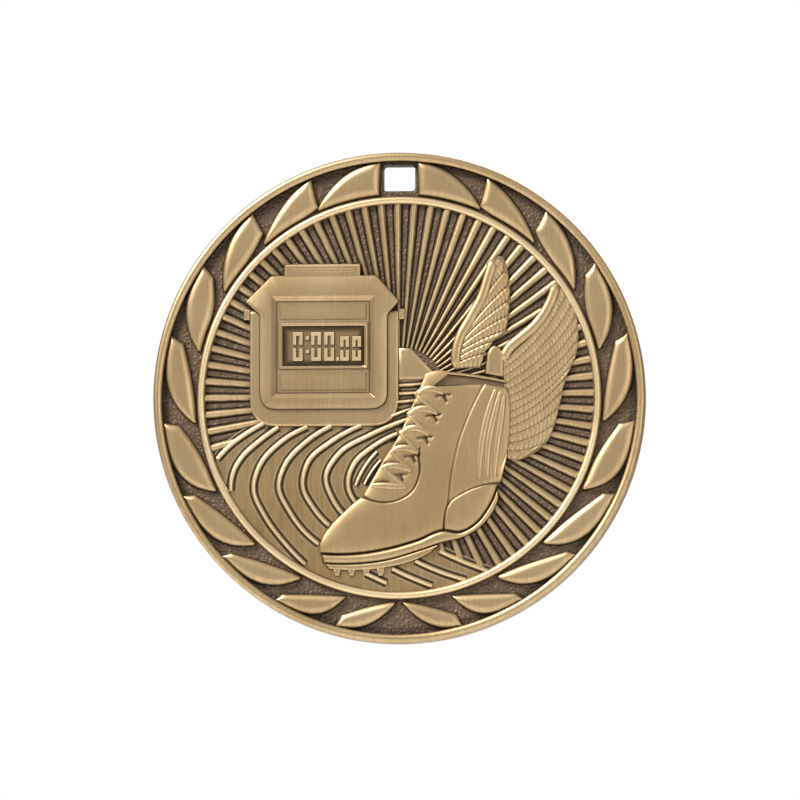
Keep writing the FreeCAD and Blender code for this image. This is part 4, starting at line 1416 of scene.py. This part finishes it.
        edge = bar(through(((5.1, 2.45), (8.0, 2.12), (11.0, 1.55)), even(33)), np.full(33, 0.42), 9)
        wave = np.broadcast_to(arch(9), edge.shape[:2])
        with self.shop.piece("shoe_ankle_opening", "shoe_lining") as work:
            work.block(plan, np.full(plan.shape[:2], self.lining_height), wash_and_shade=np.array(0.6))
            work.block(edge, 0.2 + 0.5 * wave, wash_and_shade=1.0 - wave)

    def strip_over(self, work: Sculpture, route: Points, width: float, rise: float) -> None:
        """Adds a rounded strip that lies on the volume.

        Args:
            work: the piece it joins.
            route: its centre line.
            width: its width in mm.
            rise: how far its middle stands above the volume, in mm.
        """
        taper = 1.0 - 0.4 * np.abs(np.linspace(-1, 1, 25)) ** 3
        plan = bar(through(route, even(25)), width * taper, 11)
        wave = np.broadcast_to(arch(11), plan.shape[:2])
        height = self.volume(plan) - self.strip_sunk + (rise + self.strip_sunk) * wave
        work.block(plan, height, 0.3, np.clip(1.1 - 1.8 * wave, 0.0, 1.0))

    def make_trim(self) -> None:
        """The laces, crossed between the bars, and the ribs on the heel."""
        with self.shop.piece("shoe_lace_bars", "shoe_laces") as work:
            for (left, *_), (*_, right) in zip(self.laces[:-1], self.laces[1:]):
                middle = ((left[0] + right[0]) / 2 + 0.1, (left[1] + right[1]) / 2)
                self.strip_over(work, (left, middle, right), 0.42, 0.02)
            for route in self.laces:
                self.strip_over(work, route, 0.72, 0.07)
        with self.shop.piece("shoe_heel_ribs", "shoe_heel_stripes") as work:
            for route in self.heel_stripes:
                self.strip_over(work, route, 0.7, 0.1)

    def make_sole(self) -> None:
        """The midsole, the spike plate and its four spikes."""
        high = through(self.sole_line, even(81)) + np.array([0.0, -0.06])
        low = through(self.sole_bottom, even(81))
        plan = patch(low, high, across=eased(15))
        inward = edge_distance(plan)
        with self.shop.piece("shoe_foam_sole", "shoe_midsole") as work:
            work.block(plan, shoulder(inward, 0.35, 0.72, 0.5), wash_and_shade=bell(inward, 0.12))
        low, high = through(self.plate_bottom, even(49)), through(self.sole_bottom[:3:-1], even(49))
        plan = patch(low, high, across=eased(11))
        with self.shop.piece("shoe_spike_plate", "shoe_outsole") as work:
            work.block(plan, shoulder(edge_distance(plan), 0.25, 0.52, 0.3))
        with self.shop.piece("shoe_track_spikes", "shoe_spikes") as work:
            for u in self.spikes:
                loop = np.array([(u - 0.22, -18.45), (u + 0.22, -18.45), (u + 0.44, -17.6), (u - 0.44, -17.6)])
                work.stack([loop, loop, inset(loop, 0.04), inset(loop, 0.12)], [FOOT, 0.3, 0.38, 0.42])

    def make(self) -> None:
        """Makes the whole shoe."""
        self.make_upper()
        self.make_trim()
        self.make_sole()


# ---------------------------------------------------------------- wings


@dataclass
class Wing:
    """One wing: a strong leading edge and feathers that fan out from a root line to a curved trailing edge.

    Attributes:
        shop: the workshop.
        title: start of its pieces' names.
        edge_node: the CAD node of its leading edge.
        groups: (name, CAD node, first feather, last feather) of each group of feathers.
        root_low: where the lowest feather starts.
        root_high: where the highest feather starts.
        bow: sag of a feather as a share of its length.
        tips: the trailing edge, from the lowest feather up.
        leading: the leading edge, from the root to the tip.
        feathers: how many feathers there are.
        height: height of a feather's back, in mm.
        lean: power that moves the tips up the trailing edge; below 1 the feathers stand steeper.
        ground_height: height of the ground under the feathers, in mm.
        edge_width: width of the leading edge, in mm.
        edge_height: height of its crest, in mm.
        brink: height of its two sides, in mm.
        barb_pitch: distance between barbs along a feather, in mm.
        barb_depth: depth of the notches between barbs, in mm.
        barb_slant: how many barbs one side of a feather is ahead of the other.
        tip_share: share of a feather's length over which its tip narrows.
        shingle: how much higher a feather's upper side stands than its lower, in mm.
    """

    shop: Workshop
    title: str
    edge_node: str
    groups: Sequence[tuple[str, str, int, int]]
    root_low: tuple[float, float]
    root_high: tuple[float, float]
    bow: float
    tips: Points
    leading: Points
    feathers: int
    height: float
    lean: float = 1.0
    ground_height: float = 0.42
    edge_width: float = 1.15
    edge_height: float = 0.8
    brink: float = 0.25
    barb_pitch: float = 0.44
    barb_depth: float = 0.07
    barb_slant: float = 0.9
    tip_share: float = 0.1
    shingle: float = 0.08

    def line(self, share: float, along: Array) -> Array:
        """A feather's side: the straight line from root to tip, plus a parabola square to it.

        Args:
            share: 0 for the lowest feather's lower side, 1 for the highest's upper side.
            along: fractions of its length.

        Returns:
            (n, 2) plan points.
        """
        root = np.array(self.root_low) + (np.array(self.root_high) - np.array(self.root_low)) * share
        tip = through(self.tips, np.array([share ** self.lean]))[0]
        reach = tip - root
        sag = np.array([reach[1], -reach[0]]) * self.bow
        return root + reach * along[:, None] + sag * (4 * along * (1 - along))[:, None]

    def feather(self, work: Sculpture, index: int) -> None:
        """Adds one feather: crowned across, tilted like a shingle, with a rounded tip and fine barbs.

        Args:
            work: the piece it joins.
            index: the feather's number from the lowest.
        """
        along, across = even(97), even(9)
        low, high = (self.line(number / self.feathers, along) for number in (index, index + 1))
        beats = np.linalg.norm(low[-1] - low[0]) / self.barb_pitch
        middle = (low + high) / 2
        tip = np.sqrt(1.0 - np.clip((along - (1.0 - self.tip_share)) / self.tip_share, 0.0, 1.0) ** 2)[:, None]
        narrow = 0.25 + 0.75 * tip
        plan = patch(middle + (low - middle) * narrow, middle + (high - middle) * narrow, across=across)
        crown = np.sin(np.pi * (0.06 + 0.88 * across))[None, :] ** 0.5
        tilt = self.shingle * (across - 0.5)[None, :]
        barb = 0.5 + 0.5 * np.sin(2 * np.pi * (along[:, None] * beats + across[None, :] * self.barb_slant))
        notch = (1.0 - barb) * (1.0 - across[None, :]) ** 0.7
        height = self.ground_height + (self.height - self.ground_height) * crown * (0.6 + 0.4 * tip) + tilt
        stain_and_shade = np.clip(1.9 - 3.0 * crown, 0.0, 0.95) + 0.85 * notch ** 3
        work.block(plan, height - self.barb_depth * notch, self.ground_height - 0.2, np.clip(stain_and_shade, 0.0, 1.0))

    def make(self) -> None:
        """Makes the ground under the feathers, the feathers and the leading edge."""
        low, high = self.line(0.0, even(25)), through(self.leading, even(25))
        root = np.array(self.root_low) + (high[0] - np.array(self.root_low)) * eased(33)[:, None]
        trailing = through(self.tips + (self.leading[-1],), eased(33))
        ground = patch(low, high, left=root, right=trailing, across=eased(33))
        for name, node, first, last in self.groups:
            with self.shop.piece(f"{self.title}_{name}", node) as work:
                if first == 0:
                    work.block(ground, np.full(ground.shape[:2], self.ground_height), wash_and_shade=np.array(0.4))
                for index in range(first, last):
                    self.feather(work, index)
        line = through(self.leading, even(49))
        taper = np.sqrt(np.clip(np.minimum(even(49), 1 - even(49)) / 0.06, 0.05, 1.0))
        plan = bar(line, self.edge_width * taper, 13)
        with self.shop.piece(self.title + "_front_edge", self.edge_node) as work:
            work.block(plan, self.brink + (self.edge_height - self.brink) * arch(13) * taper[:, None])


@dataclass
class Wings:
    """The ankle strap and the two wings that it holds."""

    shop: Workshop
    strap_left: Points = ((8.8, 2.3), (8.95, 3.6), (9.1, 4.6), (9.5, 5.2), (10.2, 5.3))
    strap_right: Points = ((10.9, 1.9), (10.9, 3.0), (10.9, 3.8), (10.75, 4.7), (10.2, 5.3))
    strap_height: float = 0.64

    def front(self) -> Wing:
        """The small wing on the near side."""
        return Wing(self.shop, "near_wing", "front_wing_leading_edge",
                    (("feathers", "front_wing_feathers", 0, 8),),
                    (6.0, 2.9), (7.3, 8.0), -0.03,
                    ((8.4, 3.0), (8.9, 4.6), (9.8, 5.75), (10.9, 6.6), (11.3, 8.4), (11.45, 10.4),
                     (11.35, 12.4),
                     (10.3, 14.6)),
                    ((5.95, 2.9), (5.9, 4.4), (6.3, 6.1), (7.5, 8.3), (8.6, 10.4), (9.25, 12.4),
                     (9.85, 14.35)), 8, 0.62)

    def rear(self) -> Wing:
        """The large wing on the far side."""
        return Wing(self.shop, "far_wing", "rear_wing_leading_edge",
                    (("short_feathers", "rear_wing_lower_feathers", 0, 6),
                     ("long_feathers", "rear_wing_long_feathers", 6, 13)),
                    (11.25, -6.4), (10.75, 3.6), 0.07,
                    ((12.6, -6.5), (15.4, -4.5), (16.4, -1.6), (17.2, 1.8), (18.3, 4.3), (18.5, 6.7),
                     (18.35, 8.2),
                     (16.6, 11.5)),
                    ((10.75, 3.6), (11.3, 4.9), (12.6, 6.1), (14.0, 7.3), (15.2, 8.9), (15.9, 10.4),
                     (16.25, 11.7)),
                    13, 0.54, 0.72)

    def make(self) -> None:
        """Makes both wings and the strap."""
        self.rear().make()
        self.front().make()
        plan = patch(through(self.strap_left, even(33)), through(self.strap_right, even(33)), across=eased(15))
        inward = edge_distance(plan)
        with self.shop.piece("ankle_strap_band", "ankle_strap") as work:
            work.block(plan, shoulder(inward, 0.3, self.strap_height, 0.4), wash_and_shade=bell(inward, 0.16))


# ---------------------------------------------------------------- studio


@dataclass
class Studio:
    """A pale floor far below, soft light from the upper left, and a long lens from slightly below and right.

    Attributes:
        medal: the medal's frame, which everything is aimed at.
        azimuth: the camera's turn to the viewer's right, in degrees.
        elevation: the camera's height above the level, in degrees.
        distance: from the camera to the disc's centre, in metres.
        framed: width of the picture at the disc, in metres.
        floor_drop: depth of the floor below the disc's centre, in metres.
        aim_right: how far to the right of the disc's centre the camera is aimed, in metres.
        aim_up: how far above it the camera is aimed, in metres.
        softboxes: each light's name, offset from the disc's centre and side in metres, and power in watts.
    """

    medal: MedalFrame
    azimuth: float = 3.5
    elevation: float = -5.5
    distance: float = 0.9
    framed: float = 0.08266
    floor_drop: float = 0.2
    aim_right: float = 0.00001
    aim_up: float = -0.00014
    softboxes: Sequence[tuple] = (
        ("key_softbox", (-0.5, -0.5, 0.6), 0.3, 14.0), ("fill_softbox", (0.5, -0.8, 0.1), 0.5, 2.0),
        ("back_softbox", (0.2, 0.8, 0.5), 0.6, 8.0))

    def centre(self) -> Array:
        """The disc's centre half way through its thickness."""
        middle = (self.medal.field_y + self.medal.back_y) / 2
        return np.array([self.medal.centre_x, middle, self.medal.centre_z])

    def make_camera(self) -> None:
        """The camera: aimed at the disc, with the focal length that frames it."""
        turn, tilt = math.radians(self.azimuth), math.radians(self.elevation)
        back = np.array([math.sin(turn) * math.cos(tilt), -math.cos(turn) * math.cos(tilt), math.sin(tilt)])
        lens = bpy.data.cameras.new("studio_camera")
        lens.sensor_width = 36.0
        lens.lens = lens.sensor_width * self.distance / self.framed
        lens.clip_start, lens.clip_end = 0.05, 10.0
        camera = stand("studio_camera", lens)
        camera.location = self.centre() + back * self.distance + np.array([self.aim_right, 0.0, self.aim_up])
        camera.rotation_euler = (math.pi / 2 - tilt, 0.0, turn)
        bpy.context.scene.camera = camera

    def add_light(self, name: str, place: tuple[float, float, float], size: float, power: float) -> None:
        """Adds a square soft light that faces the disc.

        Args:
            name: the light's name.
            place: offset from the disc's centre, in metres.
            size: side of the square, in metres.
            power: power in watts.
        """
        lamp = bpy.data.lights.new(name, "AREA")
        lamp.size, lamp.energy = size, power
        made = stand(name, lamp)
        offset = np.array(place)
        made.location = self.centre() + offset
        across, along, up = -offset / np.linalg.norm(offset)
        made.rotation_euler = (math.acos(-up), 0.0, math.atan2(-across, along))

    def make_world(self) -> None:
        """Surroundings that look white behind the medal and light it softly, brighter from above."""
        world = bpy.data.worlds.new("studio_surroundings")
        bpy.context.scene.world = world
        world.use_nodes = True
        w = Wiring(world.node_tree)
        up = w.node("SeparateXYZ", {0: w.node("TexCoord").outputs["Generated"]}).outputs["Z"]
        glow = w.mix(w.span(up, -0.7, 1.0), srgb(62, 60, 58), srgb(232, 233, 238))
        seen = w.mix(w.node("LightPath").outputs["Is Camera Ray"], glow, (1.0, 1.0, 1.0, 1.0))
        ground = w.node("Background", {"Color": seen, "Strength": 1.0})
        w.node("OutputWorld", {"Surface": ground.outputs[0]})

    def make_floor(self) -> None:
        """The plain pale floor: a wide sheet with a faint unevenness."""
        span = even(9) * 4.0 - 2.0
        x, y = np.meshgrid(span, span, indexing="ij")
        centre = self.centre()
        points = np.stack([centre[0] + x, centre[1] + y, np.full_like(x, centre[2] - self.floor_drop)], axis=-1)
        number = np.arange(81).reshape(9, 9)
        mesh = bpy.data.meshes.new("studio_floor")
        mesh.from_pydata(points.reshape(-1, 3), [], grid_quads(number).tolist())
        material = bpy.data.materials.new("pale_floor")
        material.use_nodes = True
        w = Wiring(material.node_tree)
        tone = w.mix(w.noise(w.place(), 3.0), srgb(232, 231, 229), srgb(240, 239, 237))
        w.coat({"Base Color": tone, "Roughness": 0.8})
        mesh.materials.append(material)
        stand("studio_floor", mesh)

    def make(self) -> None:
        """Makes the camera, the lights, the surroundings and the floor."""
        self.make_camera()
        self.make_world()
        self.make_floor()
        for name, place, size, power in self.softboxes:
            self.add_light(name, place, size, power)
        bpy.context.scene.view_settings.view_transform = "Standard"


# ---------------------------------------------------------------- assembly


def main() -> None:
    """Builds every part of the medal in order, then the studio."""
    logging.basicConfig(level=logging.INFO, format="%(name)s: %(message)s")
    medal = MedalFrame.from_cad()
    shop = Workshop(medal, Palette.mix(medal))
    blank = Blank(shop)
    blank.dress_disc()
    blank.make_rim()
    blank.make_ring()
    Wreath(shop).make()
    track = Track(shop)
    track.make()
    Sunrise(shop, track).make()
    Stopwatch(shop).make()
    Shoe(shop).make()
    Wings(shop).make()
    Studio(medal).make()


if __name__ == "__main__":
    main()
